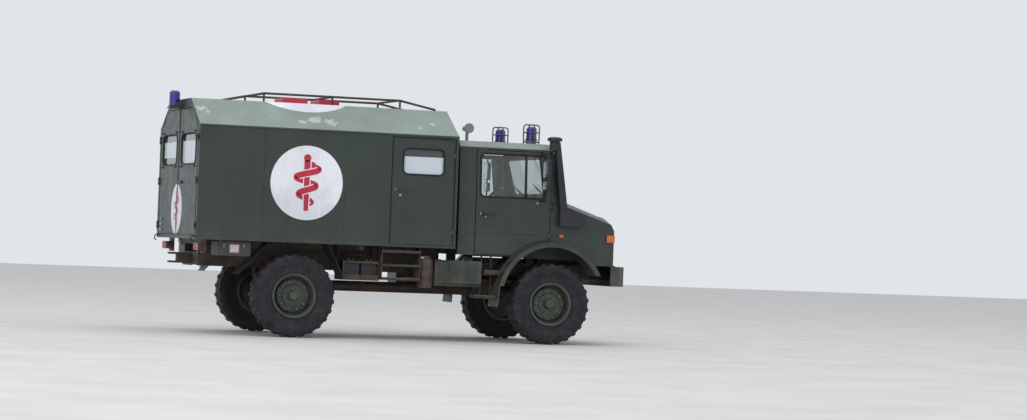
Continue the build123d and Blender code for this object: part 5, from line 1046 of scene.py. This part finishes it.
def make_seats():
    frames = Mesh()
    for side, hand in sides:
        y0, y1 = sorted((side * 0.250, side * 0.720))
        stuffed(f"seat_cushion_{hand}", "seat_cloth", (0.800, y0, 1.360), (1.288, y1, 1.478), 0.012, 0.012)
        stuffed(f"seat_back_{hand}", "seat_cloth", (0.800, y0, 1.490), (0.905, y1, 2.105), 0.012, 0.012, 0.075)
        for ends in (((0.860, 1.240, 0.060, 1.111), (0.830, 1.262, 0.030, 1.362)),
                     ((0.792, 0.806, 0.030, 1.362), (0.726, 0.738, 0.030, 2.060))):
            frames.skin([[(x, y, z) for x, y in square(x0, x1, y0 + inset, y1 - inset)] for x0, x1, inset, z in ends])
    frames.made("seat_frames", "black_plastic", bevel=0.004, replaces=("seats",))
    rack, straps = Mesh(), Mesh()
    x0, x1 = -2.380, -0.528
    for side, hand in sides:
        y0, y1 = sorted((side * 0.505, side * 1.015))
        for name, z in (("low", 1.515), ("high", 2.055)):
            stuffed(f"stretcher_pad_{name}_{hand}", "stretcher_cover", (x0, y0, z + 0.018), (x1, y1, z + 0.088),
                    0.022, 0.014)
            for y in (0.490, 1.030):
                rack.tube([(x, side * y, z + 0.014) for x in (x0 - 0.020, x1 + 0.020)], 0.014, 10)
            for x in (x0, -1.760, -1.140, x1):
                rack.tube([(x, side * y, z + 0.014) for y in (0.490, 1.030)], 0.010)
            for x in (-1.950, -1.020):
                straps.plate(rounded(x - 0.025, x + 0.025, y0 - 0.012, y1 + 0.012, 0.004, 2),
                             lambda u, v, w, z=z: (u, v, z + 0.0885 + w), 0.0, 0.0015)
        y0, y1 = sorted((side * 0.982, side * 1.111))
        for x in (-2.344, -0.604):
            rack.block((x, y0, 1.196), (x + 0.040, y1, 2.294))
    rack.made("stretcher_rack", "bare_steel", bevel=0.002, replaces=("stretchers",))
    straps.made("stretcher_straps", "dark_cloth_and_window_shade", smooth=False)


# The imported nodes' own finishes, with others by face

own_finish = {"side_steps": "chassis_black", "siren": "horn_green", "exhaust": "rust_brown",
              "rear_lamps": "chassis_black", "stretchers": "bare_steel"}
face_finishes = {
    "box_floor": [("chassis_black", lambda c, n: c.z < 1.1345)],
    # Upward faces on top of the rear frame take the roof's lighter paint, which is partly painted sky reflection
    "box_rear_frame": [("roof_green", lambda c, n: c.z > 2.42 and n.z > 0.3)],
    "side_steps": [("tread_steel", lambda c, n: n.z > 0.7)],
    "rear_lamps": [("pale_plate_and_cap_sheen", lambda c, n: c.z < 0.91 and c.x < -2.349)],
    "side_lockers": [("black_plastic", lambda c, n: -0.80 < c.x < -0.36 and 0.73 < c.z < 0.955 and abs(c.y) < 0.995),
                     ("chassis_black", lambda c, n: -0.81 < c.x < -0.34)],
    "indicators": [("dark_red_lens", lambda c, n: c.x < 0.8)],
    "cab_door_left": [("black_plastic", lambda c, n: c.y > 1.004 and c.x < 1.6 and c.z < 1.75)],
    "cab_door_right": [("black_plastic", lambda c, n: c.y < -1.004 and c.x < 1.6 and c.z < 1.75)],
}


def dress_nodes():
    for name, node in nodes.items():
        data = node.data
        data.materials.clear()
        data.materials.append(mats[own_finish.get(name, slot_of[name])])
        rules = face_finishes.get(name, [])
        for finish, _ in rules:
            data.materials.append(mats[finish])
        for face in data.polygons:
            fits = [k for k, (_, rule) in enumerate(rules) if rule(face.center, face.normal)]
            face.material_index = fits[0] + 1 if fits else 0


make_camera()
make_lights()
make_floor()
dress_nodes()
make_wheels()
make_windows()
make_signs()
make_box_trim()
make_box_fittings()
make_cab_details()
make_steps()
make_tank_and_boxes()
make_rear_lamps()
make_front()
make_seats()
